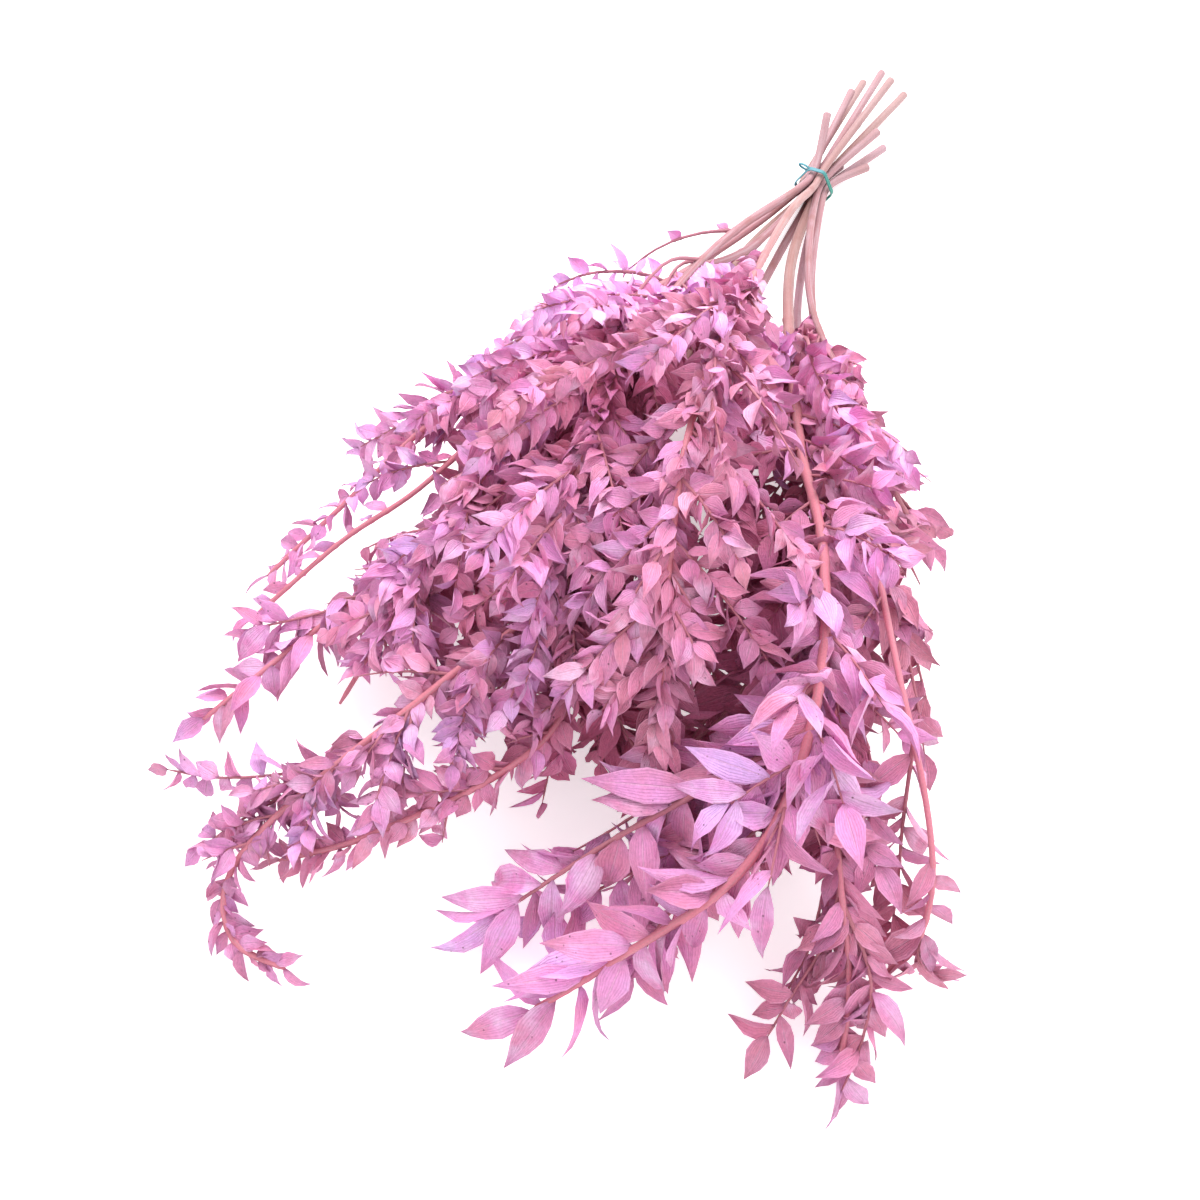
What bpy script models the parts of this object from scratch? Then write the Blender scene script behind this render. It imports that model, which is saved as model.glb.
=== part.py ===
"""A tied bunch of dyed, dried ruscus, lying on a surface.

Twelve leafy stems pass through one rubber band. Their cut ends point towards +Y and their
tips towards -Y. Each stem is a woody cane with side shoots, and both carry pointed leaves.
The surface is at z = 0, and the origin is on it, under the middle of the bunch.
"""

import math
import random

import bmesh
import bpy
from mathutils import Vector
from mathutils.bvhtree import BVHTree
from mathutils.geometry import interpolate_bezier

MM = 0.001
CM = 0.01

# The band, and the canes where it holds them
TIE_AT = Vector((-3.3, 27.4, 1.28)) * CM
CANE_RADIUS = 3.2 * MM
CANE_TIP_RADIUS = 1.3 * MM
CANE_SIDES = 5
CANE_GAP = 0.35 * MM
CANE_RING_STEP = 42 * MM
BAND_WIDTH = 3.5 * MM
BAND_THICKNESS = 1.4 * MM
BAND_GAP = 0.3 * MM

# Side shoots
SHOOT_STEP = 27 * MM
SHOOT_ANGLE = math.radians(46)
SHOOT_DROOP = 0.30
SHOOT_RADIUS = 1.25 * MM
SHOOT_TIP_RADIUS = 0.75 * MM
SHOOT_SIDES = 3
SHOOT_RING_STEP = 27 * MM

# Leaves
LEAF_STEP = 9.5 * MM
LEAF_LENGTH = 31 * MM
LEAF_WIDTH = 13 * MM
LEAF_THICKNESS = 0.9 * MM
LEAF_ANGLE = math.radians(48)
LEAF_DROOP = 0.28
LEAF_FOLD = 0.22
LEAF_ARCH = 0.10
LEAF_BUD = 0.9 * MM
LEAF_SECTIONS = ((0.27, 0.86), (0.62, 0.74))

# How the canes fan out past the band, and which way shoots and leaves face
HELD_LENGTH = 20 * MM
BAND_ROW = 1.33
BAND_SIDES = 28
SHOOT_TURN = (-0.9, 0.75)
FACING = Vector((0.15, -0.45, 0.88))

SURFACE_GAP = 0.1 * MM
CLEARANCE = 0.35 * MM
WALL_CLEARANCE = 0.25 * MM
CURVE_STEP = 8 * MM
MOST_SHOOTS = 12
MOST_TRIANGLES = 17500
SEED = 7

# Each stem, in centimetres: its place in the band as (column, row), how far its cut end runs
# from there, its leaf size, where its shoots start and stop past the band and how long they
# grow, where leaves start on the cane itself and their step in millimetres, and the points the
# cane passes, from the band's middle along X and Y and above the surface along Z.
STEMS = {
    "stem_a": {
        "place": (-1.5, 1), "heel": (0.6, 12.5, 0.9), "leaf": 0.90,
        "shoots": (19, 46, 6.5), "leaves": (42, 9),
        "way": [(-3.7, -15, 4.2), (-7.7, -34.5, 8), (-10, -41, 7), (-13, -44.5, 5), (-16.6, -50, 1.8)],
    },
    "stem_b": {
        "place": (-1, 1.88), "heel": (0.2, 9.0, 1.8), "leaf": 0.90,
        "shoots": (20, 44, 6.5), "leaves": (40, 9),
        "way": [
            (-2.5, -15, 5.9), (-6.4, -29, 9.4), (-11, -36.5, 8), (-14.7, -42.4, 4.4),
            (-17.4, -47, 1.8),
        ],
    },
    "stem_c": {
        "place": (-1, 0), "heel": (0, 3.2, -0.1), "leaf": 0.95,
        "shoots": (16, 52, 9.5), "leaves": (47, 9),
        "way": [(-2.5, -15, 2.8), (-5, -30, 5.5), (-8, -44.5, 6.4), (-11.8, -50, 4), (-15.6, -56.3, 1.4)],
    },
    "stem_d": {
        "place": (-0.5, 1), "heel": (1.2, 7.5, 0.9), "leaf": 0.92,
        "shoots": (20, 62, 9), "leaves": (56, 8.5),
        "way": [
            (-0.8, -15, 5.8), (0.4, -30, 8), (1.2, -44, 9.6), (-2.4, -52, 8.4), (-7.4, -60, 4.6),
            (-8.8, -63.6, 2.2), (-7.2, -65.8, 1.3), (-4.1, -65.9, 1.2),
        ],
    },
    "stem_e": {
        "place": (0, 0), "heel": (0.9, 4.0, 0), "leaf": 0.95,
        "shoots": (22, 56, 7), "leaves": (50, 9),
        "way": [
            (0.8, -15, 3), (2.5, -35, 5), (3.4, -46, 6.4), (3, -52.4, 6.6), (-3, -59, 4),
            (-7.1, -61.5, 2),
        ],
    },
    "stem_f": {
        "place": (0.5, 1), "heel": (2.6, 12.8, 0.6), "leaf": 1.18,
        "shoots": (17, 46, 10), "leaves": (46, 13),
        "way": [
            (2.9, -15, 5.8), (8.6, -30, 9), (12.8, -39, 11.5), (15.3, -48.2, 12), (14.9, -54.5, 9.5),
            (10.9, -59.5, 4.8), (7.9, -62.8, 2),
        ],
    },
    "stem_g": {
        "place": (1, 0), "heel": (2.6, 7.2, 0.2), "leaf": 1.08,
        "shoots": (20, 54, 8), "leaves": (46, 9.5),
        "way": [
            (3.9, -15, 2.9), (10, -30, 5), (15, -42, 7.6), (18.4, -51.2, 7.6), (21.2, -55.6, 3.6),
            (22.2, -58.8, 1.4),
        ],
    },
    "stem_h": {
        "place": (1.5, 1), "heel": (2.0, 3.6, 0.3), "leaf": 1.05,
        "shoots": (15, 42, 7), "leaves": (52, 15),
        "way": [
            (4.6, -15, 4.9), (10.4, -28, 8), (14.5, -36, 10.2), (17.7, -42.5, 11), (22.2, -49.5, 8.4),
            (23.4, -52.4, 4.8), (22.4, -54.6, 1.8),
        ],
    },
    "stem_i": {
        "place": (0.5, 3), "heel": (1.9, 9.5, 2.6), "leaf": 0.90,
        "shoots": (24, 53, 12), "leaves": (46, 9),
        "way": [
            (2.2, -15, 11), (3.7, -28, 16), (4.9, -38, 17.5), (6.6, -44.5, 15.5), (8.6, -49.5, 10.6),
            (9.2, -52, 7),
        ],
    },
    "stem_j": {
        "place": (0, 2), "heel": (1.0, 11.8, 2.0), "leaf": 0.92,
        "shoots": (19, 54, 10), "leaves": (48, 9),
        "way": [
            (-0.2, -15, 7.2), (-2.4, -24, 11), (-4, -34, 13), (-5.4, -42, 10.8), (-7, -48, 7),
            (-8.4, -53, 3.4),
        ],
    },
    "stem_k": {
        "place": (0.85, 1.85), "heel": (2.2, 5.8, 1.4), "leaf": 0.92,
        "shoots": (13, 32, 6.5), "leaves": (28, 9),
        "way": [(3.6, -14, 7.8), (5.9, -20, 8.6), (10.4, -25, 7.6), (14.6, -28, 4.6), (17.4, -28.6, 2)],
    },
    "stem_l": {
        "place": (-0.5, 3), "heel": (-0.6, 4.2, 2.2), "leaf": 0.95,
        "shoots": (25, 54, 10), "leaves": (49, 9),
        "way": [
            (-0.9, -15, 8.7), (-0.7, -25, 13), (-0.6, -34, 14.6), (0.2, -42, 13.4), (1.5, -48.5, 9.6),
            (2, -52.5, 4.8),
        ],
    },
}

# Shoots that are placed by hand, because they show singly: the stem they leave, the Y in
# centimetres where they leave it, their leaf size, and their points, as for the canes.
PLACED_SHOOTS = {
    "fork": {
        "stem": "stem_f", "from": -47.6, "leaf": 1.18,
        "way": [(12.4, -51.4, 10.2), (8.5, -55, 6.6), (4.4, -59.4, 2.4)],
    },
    "sprig": {
        "stem": "stem_d", "from": -54.6, "leaf": 0.8,
        "way": [(-6.8, -56.4, 6), (-10.7, -58.2, 3.6), (-14.7, -60.2, 2.2)],
    },
    "side_twig": {
        "stem": "stem_l", "from": -15.6, "leaf": 0.7,
        "way": [(-1.5, -16.8, 10.6), (-2.7, -18.7, 11.3), (-4.2, -20.5, 10.9), (-5.6, -21.8, 9.6)],
    },
    "low_cluster": {
        "stem": "stem_g", "from": -49, "leaf": 0.9,
        "way": [(17.6, -53.6, 5), (18.3, -55.6, 3), (18.4, -57.2, 1.8)],
    },
    "right_low": {
        "stem": "stem_h", "from": -31, "leaf": 0.95,
        "way": [(14.6, -32.4, 8), (17.6, -33.6, 5)],
    },
    "right_high": {
        "stem": "stem_f", "from": -21.5, "leaf": 0.95,
        "way": [
            (6.3, -22.7, 9.2), (7.6, -25.6, 10.4), (9.7, -28.4, 10.9), (11.9, -29.6, 10.4),
            (13.8, -29.4, 9.0), (14.5, -29.1, 8.2),
        ],
    },
}


def draw(*keys):
    return random.Random("/".join(str(key) for key in (SEED,) + keys))


class Limb:
    """A cane or a shoot: a curve, its radius along the way, and the leaves on it."""

    def __init__(self, name, curve, radius, tip_radius, facing):
        self.name = name
        self.curve = curve
        self.radius = radius
        self.tip_radius = tip_radius
        self.lengths = [0.0]
        for before, after in zip(curve, curve[1:]):
            self.lengths.append(self.lengths[-1] + (after - before).length)
        self.length = self.lengths[-1]
        self.normals = []
        normal = facing
        for index in range(len(curve)):
            ahead = curve[min(index + 1, len(curve) - 1)] - curve[max(index - 1, 0)]
            ahead.normalize()
            normal = normal - ahead * normal.dot(ahead)
            normal.normalize()
            self.normals.append(normal)
        self.leaves = []
        self.shoots = []
        self.placed = False

    def at(self, distance):
        """The position, direction and facing at a distance along the limb."""
        distance = min(max(distance, 0.0), self.length - 1e-6)
        index = 0
        while self.lengths[index + 1] < distance:
            index += 1
        share = (distance - self.lengths[index]) / (self.lengths[index + 1] - self.lengths[index])
        position = self.curve[index].lerp(self.curve[index + 1], share)
        ahead = self.direction(index).lerp(self.direction(index + 1), share).normalized()
        normal = self.normals[index].lerp(self.normals[index + 1], share)
        normal = (normal - ahead * normal.dot(ahead)).normalized()
        return position, ahead, normal

    def direction(self, index):
        before = self.curve[max(index - 1, 0)]
        after = self.curve[min(index + 1, len(self.curve) - 1)]
        return (after - before).normalized()

    def radius_at(self, distance):
        share = min(max(distance / self.length, 0.0), 1.0)
        return self.radius + (self.tip_radius - self.radius) * share ** 0.8


def smooth_curve(knots):
    """A smooth curve through the knots, with a point about every CURVE_STEP."""
    curve = [knots[0]]
    for index in range(len(knots) - 1):
        start = knots[index]
        end = knots[index + 1]
        before = knots[max(index - 1, 0)]
        after = knots[min(index + 2, len(knots) - 1)]
        reach = (end - start).length / 3
        leave = start + (end - before).normalized() * reach
        arrive = end - (after - start).normalized() * reach
        count = max(2, round((end - start).length / CURVE_STEP))
        curve.extend(interpolate_bezier(start, leave, arrive, end, count + 1)[1:])
    return curve


def way_points(way):
    return [Vector((TIE_AT.x + x * CM, TIE_AT.y + y * CM, z * CM)) for x, y, z in way]


def place_in_band(place):
    pitch = 2 * CANE_RADIUS + CANE_GAP
    return Vector((place[0] * pitch, 0, (place[1] - BAND_ROW) * pitch * math.sqrt(0.75)))


def grow_cane(name, spec):
    place = place_in_band(spec["place"])
    end = TIE_AT + place + Vector(spec["heel"]) * CM
    held = Vector((0, HELD_LENGTH / 2, 0))
    middle = TIE_AT + place
    curve = smooth_curve([end, middle + held, middle - held] + way_points(spec["way"]))
    cane = Limb(name, curve, CANE_RADIUS, CANE_TIP_RADIUS, Vector((0, 0, 1)))
    cane.heel = (end - TIE_AT - place).length
    return cane


def radius_for_shoot(cane, distance):
    return min(SHOOT_RADIUS, 0.62 * cane.radius_at(distance))


def grow_shoot(cane, key, distance, side, length):
    """A side shoot that leaves the cane at a distance along it, then droops."""
    rng = draw(cane.name, "shoot", key)
    position, ahead, normal = cane.at(distance)
    turn = rng.uniform(*SHOOT_TURN)
    out = ahead.cross(normal) * side * math.cos(turn) + normal * math.sin(turn)
    angle = SHOOT_ANGLE * rng.uniform(0.75, 1.25)
    heading = ahead * math.cos(angle) + out * math.sin(angle)
    length = length * rng.uniform(0.75, 1.15)
    count = max(3, round(length / CURVE_STEP))
    curve = [position]
    for _ in range(count):
        heading = (heading + Vector((0, 0, -2.2 * SHOOT_DROOP / count))).normalized()
        point = curve[-1] + heading * (length / count)
        point.z = max(point.z, SHOOT_RADIUS + 2 * MM)
        curve.append(point)
    facing = FACING + Vector((rng.uniform(-0.4, 0.4), rng.uniform(-0.4, 0.4), rng.uniform(-0.2, 0.2)))
    if abs(heading.dot(facing.normalized())) > 0.93:
        facing = normal
    radius = radius_for_shoot(cane, distance)
    shoot = Limb(cane.name + "/" + str(key), curve, radius, min(radius, SHOOT_TIP_RADIUS), facing)
    shoot.leaves_at = distance
    return shoot


def grow_placed_shoot(cane, key, spec):
    leave = TIE_AT.y + spec["from"] * CM
    passed = [index for index, point in enumerate(cane.curve) if point.y < leave]
    distance = cane.lengths[passed[0]]
    start = cane.at(distance)[0]
    radius = min(1.7 * MM, 0.8 * cane.radius_at(distance))
    curve = smooth_curve([start] + way_points(spec["way"]))
    shoot = Limb(cane.name + "/" + key, curve, radius, SHOOT_TIP_RADIUS, FACING)
    shoot.leaves_at = distance
    shoot.placed = True
    return shoot


def grow_leaf(limb, key, distance, side, size):
    """Where a leaf starts, its direction, width direction and facing, and its length and width."""
    rng = draw(limb.name, "leaf", key)
    position, ahead, normal = limb.at(distance)
    across = ahead.cross(normal) * side
    angle = LEAF_ANGLE * rng.uniform(0.65, 1.25) if side else 0.0
    heading = ahead * math.cos(angle) + across * math.sin(angle)
    heading += normal * rng.uniform(-0.20, 0.34)
    heading += Vector((0, 0, -LEAF_DROOP * rng.uniform(0.2, 1.3)))
    roll = rng.gauss(0.0, 0.42)
    length = LEAF_LENGTH * size * rng.uniform(0.80, 1.14)
    width = LEAF_WIDTH * size * rng.uniform(0.82, 1.12)
    start = position + across * limb.radius_at(distance)
    if not side:
        start = limb.curve[-1].copy()
    while True:
        heading.normalize()
        facing = (normal - heading * normal.dot(heading)).normalized()
        facing = facing * math.cos(roll) + heading.cross(facing) * math.sin(roll)
        leaf = {
            "start": start, "ahead": heading.copy(), "across": heading.cross(facing), "facing": facing,
            "length": length, "width": width,
        }
        if min(point.z for point in leaf_body(leaf)[0]) > SURFACE_GAP or heading.z > 0.6:
            return leaf
        heading = heading + Vector((0, 0, 0.12))
        roll *= 0.8


def leaf_point(leaf, along, across, up):
    """A point of a leaf: along as a share of its length, across and up in metres."""
    arch = -LEAF_ARCH * leaf["length"] * along * along
    return (
        leaf["start"] + leaf["ahead"] * leaf["length"] * along
        + leaf["across"] * across + leaf["facing"] * (up + arch)
    )


def leaf_ring(leaf, along, half, pad=0.0):
    """The three corners of a leaf's cross-section: its two edges and the keel under it."""
    lift = half * LEAF_FOLD
    return [
        leaf_point(leaf, along, half + pad, lift),
        leaf_point(leaf, along, -half - pad, lift),
        leaf_point(leaf, along, 0, -LEAF_THICKNESS - pad),
    ]


def leaf_rings(leaf, pad=0.0):
    half = leaf["width"] / 2
    return [leaf_ring(leaf, along, half * share, pad) for along, share in LEAF_SECTIONS]


def leaf_body(leaf, pad=0.0):
    """A leaf past its neck as a closed body, for finding what it would cross."""
    return closed_body(leaf_rings(leaf, pad) + [[leaf_point(leaf, 1 + pad / leaf["length"], 0, 0)]])


def neck_body(bud, ring, axis):
    """The part between a bud on a limb's wall and the first ring of what grows there."""
    ring = untwisted(bud, ring, axis)
    return closed_body([[corner.lerp(end, 0.1) for corner, end in zip(bud, ring)], ring])


def closed_body(rings):
    """Rings joined by walls and closed at both ends; the last may be a single point.

    Each wall is split along both of its diagonals, as only the surface it covers matters here.
    """
    points = [point for ring in rings for point in ring]
    sides = len(rings[0])
    faces = [tuple(range(sides))]
    low = 0
    for ring in rings[1:]:
        high = low + sides
        for index in range(sides):
            other = (index + 1) % sides
            a, b = low + index, low + other
            if len(ring) == 1:
                faces.append((a, b, high))
                continue
            c, d = high + other, high + index
            faces.extend(((a, b, c), (a, c, d), (a, b, d), (b, c, d)))
        low = high
    if len(rings[-1]) > 1:
        faces.append(tuple(range(low, low + sides)))
    return points, faces


def add_leaves(limb, first, last, step, size, key_side=1):
    """Leaves on alternate sides of a limb, smaller towards its end, and one at the end itself."""
    distance = first
    side = key_side
    index = 0
    while distance < last:
        rng = draw(limb.name, "site", index)
        fade = 1 - 0.3 * max(0.0, distance / limb.length - 0.55) / 0.45
        limb.leaves.append((distance, grow_leaf(limb, index, distance, side, size * fade)))
        distance += step * rng.uniform(0.8, 1.2)
        side = -side
        index += 1
    limb.leaves.append((limb.length, grow_leaf(limb, "end", limb.length, 0, size * 0.8)))


def grow_stem(name, spec):
    """A cane with its shoots and leaves."""
    cane = grow_cane(name, spec)
    first, last, longest = spec["shoots"]
    distance = cane.heel + first * CM
    end = cane.heel + last * CM
    side = 1
    index = 0
    while distance < min(end, cane.length - 20 * MM):
        share = max(0.0, distance - cane.heel - first * CM) / ((last - first) * CM)
        reach = longest * CM * (0.45 + 0.55 * math.sin(math.pi * share ** 0.8))
        shoot = grow_shoot(cane, index, distance, side, reach)
        add_leaves(shoot, 11 * MM, shoot.length - 6 * MM, LEAF_STEP * spec["leaf"], spec["leaf"])
        cane.shoots.append(shoot)
        distance += SHOOT_STEP * draw(name, "step", index).uniform(0.75, 1.25)
        side = -side
        index += 1
    for key, placed in PLACED_SHOOTS.items():
        if placed["stem"] == name:
            shoot = grow_placed_shoot(cane, key, placed)
            step = LEAF_STEP * placed["leaf"] * 1.15
            add_leaves(shoot, 14 * MM, shoot.length - 8 * MM, step, placed["leaf"])
            cane.shoots.append(shoot)
    first, step = spec["leaves"]
    add_leaves(cane, cane.heel + first * CM, cane.length - 8 * MM, step * MM, spec["leaf"])
    return cane


class Thicket:
    """Everything placed so far, so that nothing is placed across it."""

    def __init__(self):
        self.placed = []

    def enclose(self, body):
        points = body[0]
        middle = sum(points, Vector()) / len(points)
        return middle, max((point - middle).length for point in points)

    def is_free(self, body):
        middle, reach = self.enclose(body)
        tree = BVHTree.FromPolygons(*body)
        for other_middle, other_reach, other_tree in self.placed:
            if (other_middle - middle).length < reach + other_reach and tree.overlap(other_tree):
                return False
        return True

    def place(self, body):
        self.placed.append((*self.enclose(body), BVHTree.FromPolygons(*body)))


def first_corner(sides):
    return math.pi / 2 if sides == CANE_SIDES else math.pi / 6


def ring_round(limb, distance, sides, pad=0.0):
    position, ahead, normal = limb.at(distance)
    across = ahead.cross(normal)
    radius = limb.radius_at(distance) + pad
    start = first_corner(sides)
    ring = []
    for index in range(sides):
        angle = start + 2 * math.pi * index / sides
        ring.append(position + across * radius * math.cos(angle) + normal * radius * math.sin(angle))
    return ring


def ring_stations(start, end, step):
    count = max(1, round((end - start) / step))
    return [start + (end - start) * index / count for index in range(count + 1)]


def tube_body(limb, stations, sides, pad=0.0):
    return closed_body([ring_round(limb, distance, sides, pad) for distance in stations])


class Skin:
    """The closed surface of one leafy stem, grown outwards face by face."""

    def __init__(self):
        self.points = []
        self.faces = []
        self.removed = set()

    def add_points(self, points):
        first = len(self.points)
        self.points.extend(points)
        return list(range(first, first + len(points)))

    def add_face(self, corners):
        self.faces.append(tuple(corners))
        return len(self.faces) - 1

    def wall(self, lower, upper):
        faces = []
        for index in range(len(lower)):
            other = (index + 1) % len(lower)
            faces.append(self.add_face((lower[index], upper[index], upper[other], lower[other])))
        return faces

    def split_wall(self, lower, upper):
        """A wall in triangles, each quad split along the diagonal that bulges outwards."""
        points = self.points
        middle = sum((points[index] for index in lower + upper), Vector()) / (2 * len(lower))
        for index in range(len(lower)):
            other = (index + 1) % len(lower)
            a, b, c, d = lower[index], upper[index], upper[other], lower[other]
            out = (points[a] + points[b] + points[c] + points[d]) / 4 - middle
            if (points[a] + points[c] - points[b] - points[d]).dot(out) > 0:
                self.add_face((a, b, c))
                self.add_face((a, c, d))
            else:
                self.add_face((a, b, d))
                self.add_face((b, c, d))

    def cone(self, loop, tip):
        top = self.add_points([tip])[0]
        for index in range(len(loop)):
            self.add_face((loop[index], loop[(index + 1) % len(loop)], top))

    def grow_ring(self, loop, points, axis, split=False):
        """Walls from the loop to new points, joined without a twist."""
        base = [self.points[index] for index in loop]
        points = untwisted(base, points, axis)
        upper = self.add_points(points)
        if split:
            return upper, self.split_wall(loop, upper)
        return upper, self.wall(loop, upper)

    def lace(self, lower, upper):
        """Triangles between two even loops that differ in how many points they have."""
        lower_points = [self.points[index] for index in lower]
        upper_points = [self.points[index] for index in upper]
        lower_middle = sum(lower_points, Vector()) / len(lower)
        upper_middle = sum(upper_points, Vector()) / len(upper)
        best = None
        for low, lower_point in enumerate(lower_points):
            for high, upper_point in enumerate(upper_points):
                out = (lower_point - lower_middle).normalized()
                match = out.dot((upper_point - upper_middle).normalized())
                if best is None or match > best[0]:
                    best = (match, low, high)
        lower = lower[best[1]:] + lower[:best[1] + 1]
        upper = upper[best[2]:] + upper[:best[2] + 1]
        low = 0
        high = 0
        while low < len(lower) - 1 or high < len(upper) - 1:
            if (low + 1) * (len(upper) - 1) <= (high + 1) * (len(lower) - 1):
                self.add_face((lower[low], lower[low + 1], upper[high]))
                low += 1
            else:
                self.add_face((lower[low], upper[high + 1], upper[high]))
                high += 1

    def open_bud(self, face, share, half_length, facing):
        """Opens a small triangle in a long wall face, and closes the wall round it."""
        a, b, c, d = self.faces[face]
        if (self.points[d] - self.points[a]).dot(facing) < 0:
            a, b, c, d = d, c, b, a
        corners = [self.points[index] for index in (a, b, c, d)]
        keel, front, back = self.add_points(bud_corners(corners, share, half_length, facing))
        self.removed.add(face)
        for corners in (
            (a, b, keel), (b, front, keel), (b, c, front), (c, back, front),
            (c, d, back), (d, a, back), (a, keel, back),
        ):
            self.add_face(corners)
        return [keel, front, back]

    def make_object(self, name, material):
        mesh = bmesh.new()
        corners = [mesh.verts.new(point) for point in self.points]
        for index, face in enumerate(self.faces):
            if index not in self.removed:
                mesh.faces.new([corners[corner] for corner in face])
        bmesh.ops.recalc_face_normals(mesh, faces=mesh.faces[:])
        return finish_object(name, mesh, material)


def untwisted(base, points, axis):
    """The points in the order that joins them to the base without a twist."""
    if winding(base, axis) * winding(points, axis) < 0:
        points = points[::-1]
    base_middle = sum(base, Vector()) / len(base)
    middle = sum(points, Vector()) / len(points)
    best = None
    for turn in range(len(points)):
        turned = points[turn:] + points[:turn]
        miss = 0.0
        for low, high in zip(base, turned):
            miss += ((low - base_middle).normalized() - (high - middle).normalized()).length
        if best is None or miss < best[0]:
            best = (miss, turned)
    return best[1]


def winding(ring, axis):
    middle = sum(ring, Vector()) / len(ring)
    total = 0.0
    for index in range(len(ring)):
        total += (ring[index] - middle).cross(ring[(index + 1) % len(ring)] - middle).dot(axis)
    return total


class Tube:
    """The tube of one limb in the skin: its stations, and which of its long walls hold a bud."""

    def __init__(self, limb, stations, sides):
        self.limb = limb
        self.sides = sides
        self.stations = stations
        self.buds = {}
        self.ends_in_leaf = False

    def free_wall(self, distance, ring, half_length, facing):
        """The long wall that a ring stands clear of: its segment and index, the share and the bud."""
        segment = 0
        while segment < len(self.stations) - 2 and self.stations[segment + 1] < distance:
            segment += 1
        low = self.stations[segment]
        high = self.stations[segment + 1]
        share = min(max((distance - low) / (high - low), 0.12), 0.88)
        axis = self.limb.at(low + (high - low) * share)[0]
        lower = ring_round(self.limb, low, self.sides)
        upper = ring_round(self.limb, high, self.sides)
        walls = []
        for index in range(self.sides):
            other = (index + 1) % self.sides
            corners = (lower[index], upper[index], upper[other], lower[other])
            clear = wall_clearance(corners, share, axis, ring)
            walls.append((clear, index, bud_corners(corners, share, half_length, facing)))
        clear, index, bud = max(walls, key=lambda wall: wall[0])
        if clear < WALL_CLEARANCE or (segment, index) in self.buds:
            return None
        return (segment, index), share, bud


def wall_clearance(corners, share, axis, ring):
    """How far the nearest corner of a ring stands out from a wall."""
    a, b, c, d = corners
    spot = (a.lerp(b, share) + d.lerp(c, share)) / 2
    normal = (c - a).cross(d - b).normalized()
    if normal.dot(spot - axis) < 0:
        normal.negate()
    return min((corner - spot).dot(normal) for corner in ring)


def bud_corners(corners, share, half_length, facing):
    """A small triangle in a wall, with its keel corner on the side away from the facing."""
    a, b, c, d = corners
    if (d - a).dot(facing) < 0:
        a, b, c, d = d, c, b, a
    half = half_length / (b - a).length
    triangle = ((share, 0.26), (share + half, 0.68), (share - half, 0.68))
    return [a.lerp(b, along).lerp(d.lerp(c, along), across) for along, across in triangle]


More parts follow.
